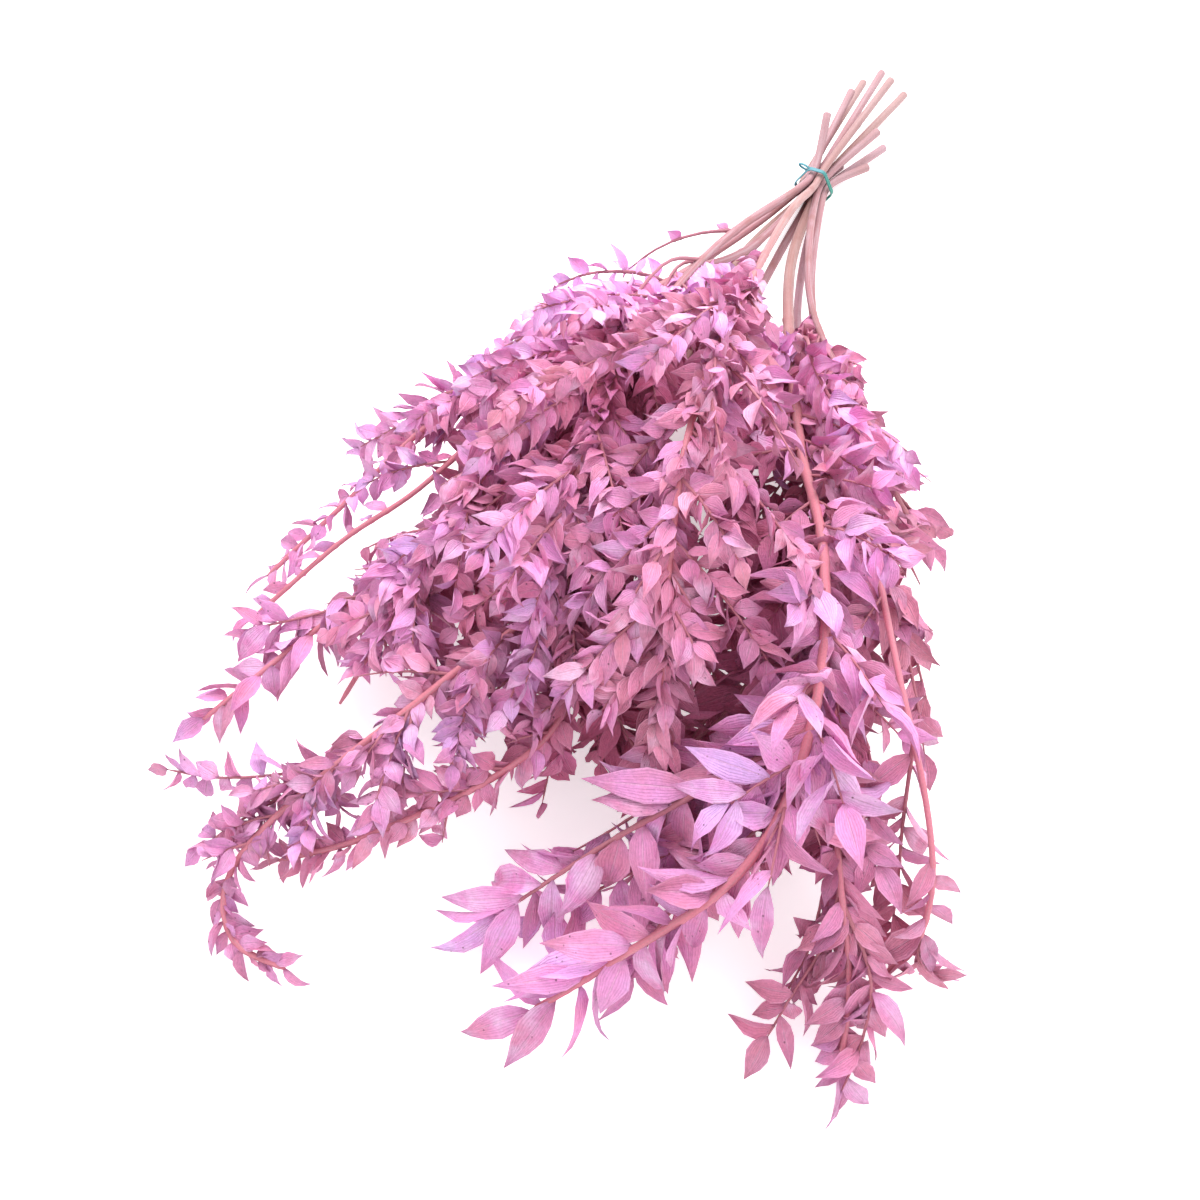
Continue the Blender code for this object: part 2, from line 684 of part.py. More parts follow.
class Choice:
    """The shoots and leaves that can be placed without crossing, up to the triangle limit."""

    def __init__(self, stems):
        self.thicket = Thicket()
        self.tubes = {}
        self.triangles = 0
        for cane in stems:
            self.place_cane(cane)
        self.place_shoots(stems)
        self.place_leaves()

    def place_cane(self, cane):
        held = HELD_LENGTH / 2
        stations = ring_stations(0, cane.heel - held, CANE_RING_STEP)
        stations += [cane.heel + held, cane.heel + held + CANE_RING_STEP / 2]
        stations += ring_stations(stations[-1], cane.length - 5 * CANE_RING_STEP, CANE_RING_STEP)[1:]
        stations += ring_stations(stations[-1], cane.length - 3 * MM, 0.55 * CANE_RING_STEP)[1:]
        tube = Tube(cane, stations, CANE_SIDES)
        self.tubes[cane.name] = tube
        self.triangles += 2 * CANE_SIDES * len(stations)
        for low in range(0, len(stations) - 1, 2):
            self.thicket.place(tube_body(cane, stations[low:low + 3], CANE_SIDES))

    def place_shoots(self, stems):
        order = []
        for cane in stems:
            for index, shoot in enumerate(cane.shoots):
                order.append((0 if shoot.placed else 1 + index % 2, index, cane, shoot))
        counts = {cane.name: 0 for cane in stems}
        for _, _, cane, shoot in sorted(order, key=lambda item: item[:2]):
            if counts[cane.name] < MOST_SHOOTS or shoot.placed:
                counts[cane.name] += self.place_shoot(cane, shoot)

    def place_shoot(self, cane, shoot):
        clear = (cane.radius_at(shoot.leaves_at) + 2 * MM) * 1.9
        stations = ring_stations(clear, shoot.length, SHOOT_RING_STEP)
        ring = ring_round(shoot, clear, SHOOT_SIDES, CLEARANCE)
        wall = self.tubes[cane.name].free_wall(shoot.leaves_at, ring, shoot.radius, shoot.normals[0])
        if wall is None:
            return False
        slot, share, bud = wall
        neck = neck_body(bud, ring, shoot.at(clear)[1])
        body = tube_body(shoot, stations, SHOOT_SIDES, CLEARANCE)
        if not self.thicket.is_free(body) or not self.thicket.is_free(neck):
            return False
        self.thicket.place(tube_body(shoot, stations, SHOOT_SIDES))
        self.thicket.place(neck)
        self.tubes[cane.name].buds[slot] = (share, ring, shoot)
        self.tubes[shoot.name] = Tube(shoot, stations, SHOOT_SIDES)
        self.triangles += 2 * SHOOT_SIDES * len(stations) + 8
        return True

    def place_leaves(self):
        sites = []
        for tube in self.tubes.values():
            for index, (distance, leaf) in enumerate(tube.limb.leaves):
                on_cane = tube.sides == CANE_SIDES
                turn = 0 if distance == tube.limb.length else 1 if on_cane else 2 + index % 3
                sites.append((turn, index, len(sites), tube, distance, leaf))
        for _, _, _, tube, distance, leaf in sorted(sites, key=lambda item: item[:3]):
            if self.triangles < MOST_TRIANGLES and distance > tube.stations[0]:
                self.place_leaf(tube, distance, leaf)

    def place_leaf(self, tube, distance, leaf):
        body = leaf_body(leaf, CLEARANCE)
        if not self.thicket.is_free(body):
            return
        ring = leaf_rings(leaf, CLEARANCE)[0]
        if distance == tube.limb.length:
            bud = ring_round(tube.limb, distance, SHOOT_SIDES)
        else:
            wall = tube.free_wall(distance, ring, LEAF_BUD, leaf["facing"])
            if wall is None:
                return
            slot, share, bud = wall
        neck = neck_body(bud, ring, leaf["ahead"])
        if not self.thicket.is_free(neck):
            return
        self.thicket.place(neck)
        self.thicket.place(leaf_body(leaf))
        if distance == tube.limb.length:
            tube.ends_in_leaf = True
            self.triangles += 14
        else:
            tube.buds[slot] = (share, ring, leaf)
            self.triangles += 20


def skin_limb(skin, tube, tubes, loop):
    """Grows a limb's tube from a loop of points, then its shoots and leaves from the tube."""
    limb = tube.limb
    walls = []
    for number, distance in enumerate(tube.stations):
        ring = ring_round(limb, distance, tube.sides)
        if loop is None:
            loop = skin.add_points(ring)
            skin.add_face(loop)
            continue
        split = number == 0
        loop, faces = skin.grow_ring(loop, ring, limb.at(distance)[1], split)
        if not split:
            walls.append(faces)
    if tube.sides != SHOOT_SIDES:
        end = ring_round(limb, limb.length, SHOOT_SIDES)
        if winding(end, limb.at(limb.length)[1]) * winding(ring, limb.at(limb.length)[1]) < 0:
            end.reverse()
        end = skin.add_points(end)
        skin.lace(loop, end)
        loop = end
    if tube.ends_in_leaf:
        skin_leaf(skin, loop, limb.leaves[-1][1])
    else:
        skin.cone(loop, limb.curve[-1] + limb.at(limb.length)[1] * 2 * limb.tip_radius)
    for (segment, _), (share, ring, grown) in tube.buds.items():
        middle = tube.stations[segment] * (1 - share) + tube.stations[segment + 1] * share
        axis = limb.at(middle)[0]
        options = []
        for face in walls[segment]:
            if face not in skin.removed:
                corners = [skin.points[index] for index in skin.faces[face]]
                options.append((wall_clearance(corners, share, axis, ring), face))
        face = max(options)[1]
        if isinstance(grown, dict):
            bud = skin.open_bud(face, share, LEAF_BUD, grown["facing"])
            skin_leaf(skin, bud, grown)
        else:
            bud = skin.open_bud(face, share, grown.radius, grown.normals[0])
            skin_limb(skin, tubes[grown.name], tubes, bud)


def skin_leaf(skin, loop, leaf):
    half = leaf["width"] / 2
    for along, share in LEAF_SECTIONS:
        loop = skin.grow_ring(loop, leaf_ring(leaf, along, half * share), leaf["ahead"], True)[0]
    skin.cone(loop, leaf_point(leaf, 1, 0, 0))


def make_band():
    """The rubber band: a closed ring that follows the outline of the canes it holds."""
    canes = [place_in_band(spec["place"]) for spec in STEMS.values()]
    rims = []
    for offset in (BAND_GAP, BAND_GAP + BAND_THICKNESS):
        supports = []
        for index in range(BAND_SIDES):
            angle = 2 * math.pi * index / BAND_SIDES
            out = Vector((math.cos(angle), 0, math.sin(angle)))
            supports.append(max(cane.dot(out) for cane in canes) + CANE_RADIUS + offset)
        rim = []
        turn = 2 * math.pi / BAND_SIDES
        for index in range(BAND_SIDES):
            here = supports[index]
            after = supports[(index + 1) % BAND_SIDES]
            angle = turn * index
            along = (after - here * math.cos(turn)) / math.sin(turn)
            rim.append(TIE_AT + Vector((
                here * math.cos(angle) - along * math.sin(angle), 0,
                here * math.sin(angle) + along * math.cos(angle),
            )))
        rims.append(rim)
    mesh = bmesh.new()
    loops = []
    for rim, side in ((rims[0], -1), (rims[1], -1), (rims[1], 1), (rims[0], 1)):
        loops.append([mesh.verts.new(point + Vector((0, side * BAND_WIDTH / 2, 0))) for point in rim])
    for number in range(4):
        lower = loops[number]
        upper = loops[(number + 1) % 4]
        for index in range(BAND_SIDES):
            other = (index + 1) % BAND_SIDES
            mesh.faces.new((lower[index], lower[other], upper[other], upper[index]))
    bmesh.ops.recalc_face_normals(mesh, faces=mesh.faces[:])
    return finish_object("tie_band", mesh, make_material("tie_band_rubber", (0.05, 0.33, 0.31), 0.5))


def make_material(name, colour, roughness):
    material = bpy.data.materials.new(name)
    material.use_nodes = True
    shader = material.node_tree.nodes["Principled BSDF"]
    shader.inputs["Base Color"].default_value = (*colour, 1)
    shader.inputs["Roughness"].default_value = roughness
    material.diffuse_color = (*colour, 1)
    return material


def finish_object(name, mesh, material):
    data = bpy.data.meshes.new(name)
    mesh.to_mesh(data)
    mesh.free()
    data.materials.append(material)
    item = bpy.data.objects.new(name, data)
    bpy.context.scene.collection.objects.link(item)
    return item


def main():
    for item in list(bpy.data.objects):
        bpy.data.objects.remove(item)
    stems = [grow_stem(name, spec) for name, spec in STEMS.items()]
    tubes = Choice(stems).tubes
    for number, cane in enumerate(stems):
        skin = Skin()
        skin_limb(skin, tubes[cane.name], tubes, None)
        tint = 0.5 + 0.5 * math.sin(2.4 * number)
        colour = (0.60 + 0.06 * tint, 0.22 + 0.03 * tint, 0.36 + 0.12 * tint)
        skin.make_object(cane.name, make_material(cane.name + "_dyed", colour, 0.6))
    make_band()


main()
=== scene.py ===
"""A tied bunch of dyed, dried ruscus, lying on a pale floor.

Twelve leafy stems pass through one rubber band. Each has a bark piece, which is its cane with the
shoots, and a leaves piece. The stems follow the same growth rule as the solids that they replace,
with every leaf drawn, and with filling shoots between the ones that the solids show.
"""

import math
import random

import bmesh
import bpy
from bpy.props import FloatProperty, FloatVectorProperty, PointerProperty
from bpy.types import Operator, Panel, PropertyGroup
from mathutils import Matrix, Vector
from mathutils.geometry import interpolate_bezier


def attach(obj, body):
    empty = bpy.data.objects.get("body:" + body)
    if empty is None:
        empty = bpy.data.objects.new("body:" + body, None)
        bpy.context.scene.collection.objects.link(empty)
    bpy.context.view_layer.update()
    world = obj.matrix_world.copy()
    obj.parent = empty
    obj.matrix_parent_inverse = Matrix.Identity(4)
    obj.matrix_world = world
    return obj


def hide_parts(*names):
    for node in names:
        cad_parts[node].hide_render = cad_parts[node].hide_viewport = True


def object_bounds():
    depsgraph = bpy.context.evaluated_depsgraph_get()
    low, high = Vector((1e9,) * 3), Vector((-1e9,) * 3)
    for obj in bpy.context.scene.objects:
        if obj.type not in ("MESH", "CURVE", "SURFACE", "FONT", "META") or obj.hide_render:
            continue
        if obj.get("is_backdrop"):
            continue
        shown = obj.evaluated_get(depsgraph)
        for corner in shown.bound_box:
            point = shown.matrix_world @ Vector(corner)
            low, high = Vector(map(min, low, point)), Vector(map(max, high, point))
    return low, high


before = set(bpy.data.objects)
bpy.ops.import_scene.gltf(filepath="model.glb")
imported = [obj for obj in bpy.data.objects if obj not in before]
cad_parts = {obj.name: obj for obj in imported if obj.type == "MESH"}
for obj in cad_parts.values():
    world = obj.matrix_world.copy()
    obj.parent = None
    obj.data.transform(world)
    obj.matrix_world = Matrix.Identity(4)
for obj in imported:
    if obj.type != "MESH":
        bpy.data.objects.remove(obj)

bl_info = {
    "name": "Dried Ruscus Bunch",
    "version": (1, 0, 0),
    "blender": (4, 5, 0),
    "location": "3D View > Sidebar > Ruscus",
    "description": "Grows a tied bunch of dyed ruscus and lights it on a pale floor",
    "category": "Add Mesh",
}

SOLID_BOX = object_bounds()

MM = 0.001
CM = 0.01

# The band's middle, and the canes that it holds: their radius there and, in millimetres, at the
# tip, the gap between them, the length they run straight, and the middle row of their lattice
TIE_AT = Vector((-3.3, 27.4, 1.28)) * CM
CANE_RADIUS = 3.2 * MM
CANE_TIP = 1.3
CANE_GAP = 0.35 * MM
HELD_LENGTH = 20 * MM
BAND_ROW = 1.33

# How late a limb tapers: below 1 early, above 1 late
TAPER = 0.65

# Canes are thicker where they are bare: by what share, and the centimetres past the band between
# which this sets in and fades
BARE_SWELL = 0.16
SWELL_IN = (2.0, 8.0)
SWELL_OUT = (20.0, 34.0)

# The rubber: the distance of its middle from the canes, the width of a turn, half its thickness, and
# the points along it
BAND_OFFSET = 1.0 * MM
BAND_STRIP = 2.3 * MM
RUBBER_HALF = 0.62 * MM
BAND_POINTS = 72

# How far the two turns lie from the band's middle, how much that varies on their way round, and
# from which angle
TURN_OFFSET = 0.95 * MM
TURN_DRIFT = 0.35 * MM
DRIFT_FROM = 0.6

# The slack loop: the point of a turn where it leaves, its direction, how far it overlaps the turn,
# its size and its points
SLACK_FROM = 26
SLACK_WAY = Vector((-0.96, 0, 0.28))
SLACK_OVERLAP = 1.0 * MM
SLACK_LENGTH = 9 * MM
SLACK_HEIGHT = 3.0 * MM
SLACK_POINTS = 28

# Side shoots: their spacing, angle and droop, their radius at both ends, their height above the
# surface, and the turns round the cane between which they leave it
SHOOT_STEP = 27 * MM
SHOOT_ANGLE = math.radians(46)
SHOOT_DROOP = 0.66
SHOOT_RADIUS = 0.95 * MM
SHOOT_TIP_RADIUS = 0.4 * MM
SHOOT_CLEARANCE = 2 * MM
SHOOT_TURN = (-0.9, 0.75)

# Shoots that thicken the bunch: their spacing, and the turns of those that cover the canes and of
# those that fill in below them
SHOOT_GAP = 12.5 * MM
COVER_TURN = (0.35, 1.35)
FILL_TURN = (-1.3, 0.2)

# Shoots that are placed one by one: their radius in millimetres, and at the tip as a share of it
PLACED_RADIUS = 1.5
PLACED_TIP = 0.4

# How near a cane's tip the last side shoot and the last thickening shoot may leave
LAST_SHOOT = 20 * MM
LAST_THICKENING = 12 * MM

# The way that most shoots' upper sides face
FACING = Vector((0.15, -0.45, 0.88))

# Limbs thicker than this have the canes' bark, and thinner ones the shoots' darker bark
WOODY_FROM = 2.0 * MM

# The tubes of canes and of shoots: corners round, the distance between rings, and how far they
# swell where something leaves them
CANE_TUBE = (12, 7 * MM, 0.16)
SHOOT_TUBE = (6, 10 * MM, 0.25)

# A tube narrows at both ends: the radius of its first and last rings, as shares of the limb's
FIRST_RING = 0.88
LAST_RING = 0.55

# The gaps after the first ring, between any two, and before the last ring
FIRST_GAP = 0.7 * MM
LEAST_GAP = 1.3 * MM
LAST_GAP = 1.5 * MM

# Where a tube swells it has three rings this far apart, and the swelling is this wide
SITE_RINGS = 2.5 * MM
SITE_WIDTH = 2.0 * MM

# The pith that shows in a cut end: its distance from the bark, and how deep it has sunk
PITH_INSET = 0.9 * MM
PITH_DEPTH = 0.25 * MM

# Leaves: their spacing, their full size, and how they leave a limb, droop, fold and arch
LEAF_STEP = 5.2 * MM
LEAF_LENGTH = 31 * MM
LEAF_WIDTH = 13 * MM
LEAF_THICKNESS = 0.9 * MM
LEAF_ANGLE = math.radians(48)
LEAF_DROOP = 0.28
LEAF_FOLD = 0.27
LEAF_ARCH = 0.10

# Where a leaf's height is tested, as shares of its length and of its half-width
LEAF_SECTIONS = ((0.27, 0.86), (0.62, 0.74))

# The rows and columns of a leaf's mesh, and where it is widest
LEAF_ROWS = (0.0, 0.08, 0.22, 0.42, 0.64, 0.84, 1.0)
LEAF_COLUMNS = (-1.0, -0.52, 0.0, 0.52, 1.0)
WIDEST_AT = 0.38

# Half a leaf's thickness and what its base adds, how round its fold is, how far its base reaches
# into the limb, and the least height of any of its points
BLADE_HALF = 0.20 * MM
BASE_EXTRA = 0.30 * MM
FOLD_ROUND = 0.4 * MM
ROOT_DEPTH = 0.8 * MM
LEAST_HEIGHT = 0.05 * MM

# Leaf sizes change from here on past the band, slowly at first
GROWTH_FROM = 12 * CM
GROWTH_DELAY = 1.7

# The lengths without leaves at a shoot's start and end, for those that grow and those that are
# placed, and the length at a cane's end
GROWN_BARE = (7 * MM, 3 * MM)
PLACED_BARE = (8 * MM, 4 * MM)
CANE_END_BARE = 5 * MM

# From this share of a cane's length on, its own leaves may pass the bunch's edge
FREE_FROM = 0.74

# The sides that leaves take in turn: left and right only, or with leaves on top, which hide a cane
TWO_RANKS = (1, -1)
FOUR_RANKS = (1, 0.35, -1, -0.35)

# No leaf's tip rises above the ceiling, and shoots stay below it by the headroom
CEILING = 0.200
HEADROOM = 8 * MM

# How deep a leaf lies in the foliage, for the painted shade that darkens deep leaves: the cells it is
# looked up in, the depth that counts full, and the least height of the foliage's top, as a share of
# the highest leaf in the cell
DEEP_CELL = 14 * MM
DEEP_FULL = 68 * MM
LEAST_TOP = 0.8

# Towards the tie the leaves of lilac stems get painted light, lighter, more lilac and with more
# painted sheen: the Y where this starts, the Y where it is full, and how lilac a stem is where this
# starts and where it is full
PAINTED_TIE_LIGHT_FROM = -100 * MM
PAINTED_TIE_LIGHT_FULL = 10 * MM
PAINTED_TIE_LIGHT_LILAC = (0.3, 0.6)

# The least height of a leaf's corners, the step of a curve's points, and the seed of the draws
SURFACE_GAP = 0.1 * MM
CURVE_STEP = 8 * MM
SEED = 7

# Each stem, in centimetres: its place in the band as (column, row), how far its cut end runs
# from there, the size of its leaves near the band and at its tip, where its shoots start and stop
# past the band and how long they grow, the same for the shoots that thicken it, where leaves start
# on the cane itself, how much wider apart than usual they are there, whether they also cover its
# top, the cane's radius in millimetres at its tip and how late it tapers where that's unusual, how
# lilac its dye is, how much lighter or darker than usual its leaves are, and the points the cane
# passes, from the band's middle along X and Y and above the surface along Z.
STEMS = {
    "stem_a": {
        "place": (-1.5, 1), "heel": (0.6, 12.5, 0.9), "leaf": (0.52, 0.66),
        "shoots": (19, 46, 6.5), "thicken": (16, 33, 5), "leaves": 33, "gap": 2.2,
        "lilac": 0.62, "light": 0.1,
        "way": [(-3.7, -15, 4.2), (-7.7, -34.5, 8), (-10, -41, 7), (-13, -44.5, 5), (-16.6, -50, 1.8)],
    },
    "stem_b": {
        "place": (-1, 1.88), "heel": (0.2, 9.0, 1.8), "leaf": (0.52, 0.74),
        "shoots": (20, 44, 6.5), "thicken": (16, 38, 6), "leaves": 34, "gap": 1.3,
        "lilac": 0.66, "light": 0.1,
        "way": [
            (-2.5, -15, 5.9), (-6.4, -29, 9.4), (-11, -36.5, 8), (-14.7, -42.4, 4.4),
            (-17.4, -47, 1.8),
        ],
    },
    "stem_c": {
        "place": (-1, 0), "heel": (0, 3.2, -0.1), "leaf": (0.55, 1.15),
        "shoots": (16, 52, 9.5), "thicken": (15, 54, 7.5), "leaves": 40, "lilac": 0.58, "light": -0.15,
        "way": [(-2.5, -15, 2.8), (-5, -30, 5.5), (-8, -44.5, 6.4), (-11.8, -50, 4), (-15.6, -56.3, 1.4)],
    },
    "stem_d": {
        "place": (-0.5, 1), "heel": (1.2, 7.5, 0.9), "leaf": (0.54, 0.66),
        "shoots": (20, 62, 9), "thicken": (17, 68, 7), "leaves": 44, "lilac": 0.52, "light": -0.25,
        "way": [
            (-0.8, -15, 5.8), (0.4, -30, 8), (1.2, -44, 9.6), (-2.4, -52, 8.4), (-7.4, -60, 4.6),
            (-8.8, -63.6, 2.2), (-7.2, -65.8, 1.3), (-4.1, -65.9, 1.2),
        ],
    },
    "stem_e": {
        "place": (0, 0), "heel": (0.9, 4.0, 0), "leaf": (0.54, 0.74),
        "shoots": (22, 56, 7), "thicken": (18, 58, 6), "leaves": 44, "lilac": 0.42, "light": 0.25,
        "way": [
            (0.8, -15, 3), (2.5, -35, 5), (3.4, -46, 6.4), (3, -52.4, 6.6), (-3, -59, 4),
            (-7.1, -61.5, 2),
        ],
    },
    "stem_f": {
        "place": (0.5, 1), "heel": (2.6, 12.8, 0.6), "leaf": (0.55, 1.75),
        "shoots": (17, 46, 10), "thicken": (16, 56, 8), "leaves": 40, "tip": 1.5, "taper": 2.0,
        "lilac": 0.62,
        "way": [
            (2.9, -15, 5.8), (8.6, -30, 9), (12.8, -39, 11.5), (15.3, -48.2, 12), (14.9, -54.5, 9.5),
            (10.9, -59.5, 4.8), (7.9, -62.8, 2),
        ],
    },
    "stem_g": {
        "place": (1, 0), "heel": (2.6, 7.2, 0.2), "leaf": (0.55, 1.05),
        "shoots": (20, 54, 8), "thicken": (16, 56, 7), "leaves": 40, "lilac": 0.40, "light": -0.2,
        "way": [
            (3.9, -15, 2.9), (10, -30, 5), (15, -42, 7.6), (18.4, -51.2, 7.6), (21.2, -55.6, 3.6),
            (22.2, -58.8, 1.4),
        ],
    },
    "stem_h": {
        "place": (1.5, 1), "heel": (2.0, 3.6, 0.3), "leaf": (0.55, 0.92),
        "shoots": (15, 42, 7), "thicken": (14, 44, 7), "leaves": 57, "gap": 2.2,
        "lilac": 0.26, "light": -0.25,
        "way": [
            (4.6, -15, 4.9), (10.4, -28, 8), (14.5, -36, 10.2), (17.7, -42.5, 11), (22.2, -49.5, 8.4),
            (23.4, -52.4, 4.8), (22.4, -54.6, 1.8),
        ],
    },
    "stem_i": {
        "place": (0.5, 3), "heel": (1.9, 9.5, 2.6), "leaf": (0.48, 0.78),
        "shoots": (24, 53, 12), "thicken": (23, 54, 9), "leaves": 24, "gap": 1.3, "covered": True,
        "lilac": 0.38,
        "way": [
            (2.2, -15, 11), (3.7, -28, 16), (4.9, -38, 17.5), (6.6, -44.5, 15.5), (8.6, -49.5, 10.6),
            (9.2, -52, 7),
        ],
    },
    "stem_j": {
        "place": (0, 2), "heel": (1.0, 11.8, 2.0), "leaf": (0.47, 0.70),
        "shoots": (19, 54, 10), "thicken": (17, 54, 8), "leaves": 20, "gap": 1.3, "covered": True,
        "lilac": 0.60, "light": 0.35,
        "way": [
            (-0.2, -15, 7.2), (-2.4, -24, 11), (-4, -34, 13), (-5.4, -42, 10.8), (-7, -48, 7),
            (-8.4, -53, 3.4),
        ],
    },
    "stem_k": {
        "place": (0.85, 1.85), "heel": (2.2, 5.8, 1.4), "leaf": (0.50, 0.74),
        "shoots": (13, 32, 6.5), "thicken": (12, 34, 6), "leaves": 20, "lilac": 0.27, "light": -0.3,
        "way": [(3.6, -14, 7.8), (5.9, -20, 8.6), (10.4, -25, 7.6), (14.6, -28, 4.6), (17.4, -28.6, 2)],
    },
    "stem_l": {
        "place": (-0.5, 3), "heel": (-0.6, 4.2, 2.2), "leaf": (0.47, 0.70),
        "shoots": (25, 54, 10), "thicken": (19, 54, 9), "leaves": 23, "gap": 1.3, "covered": True,
        "lilac": 0.62, "light": 0.35,
        "way": [
            (-0.9, -15, 8.7), (-0.7, -25, 13), (-0.6, -34, 14.6), (0.2, -42, 13.4), (1.5, -48.5, 9.6),
            (2, -52.5, 4.8),
        ],
    },
}
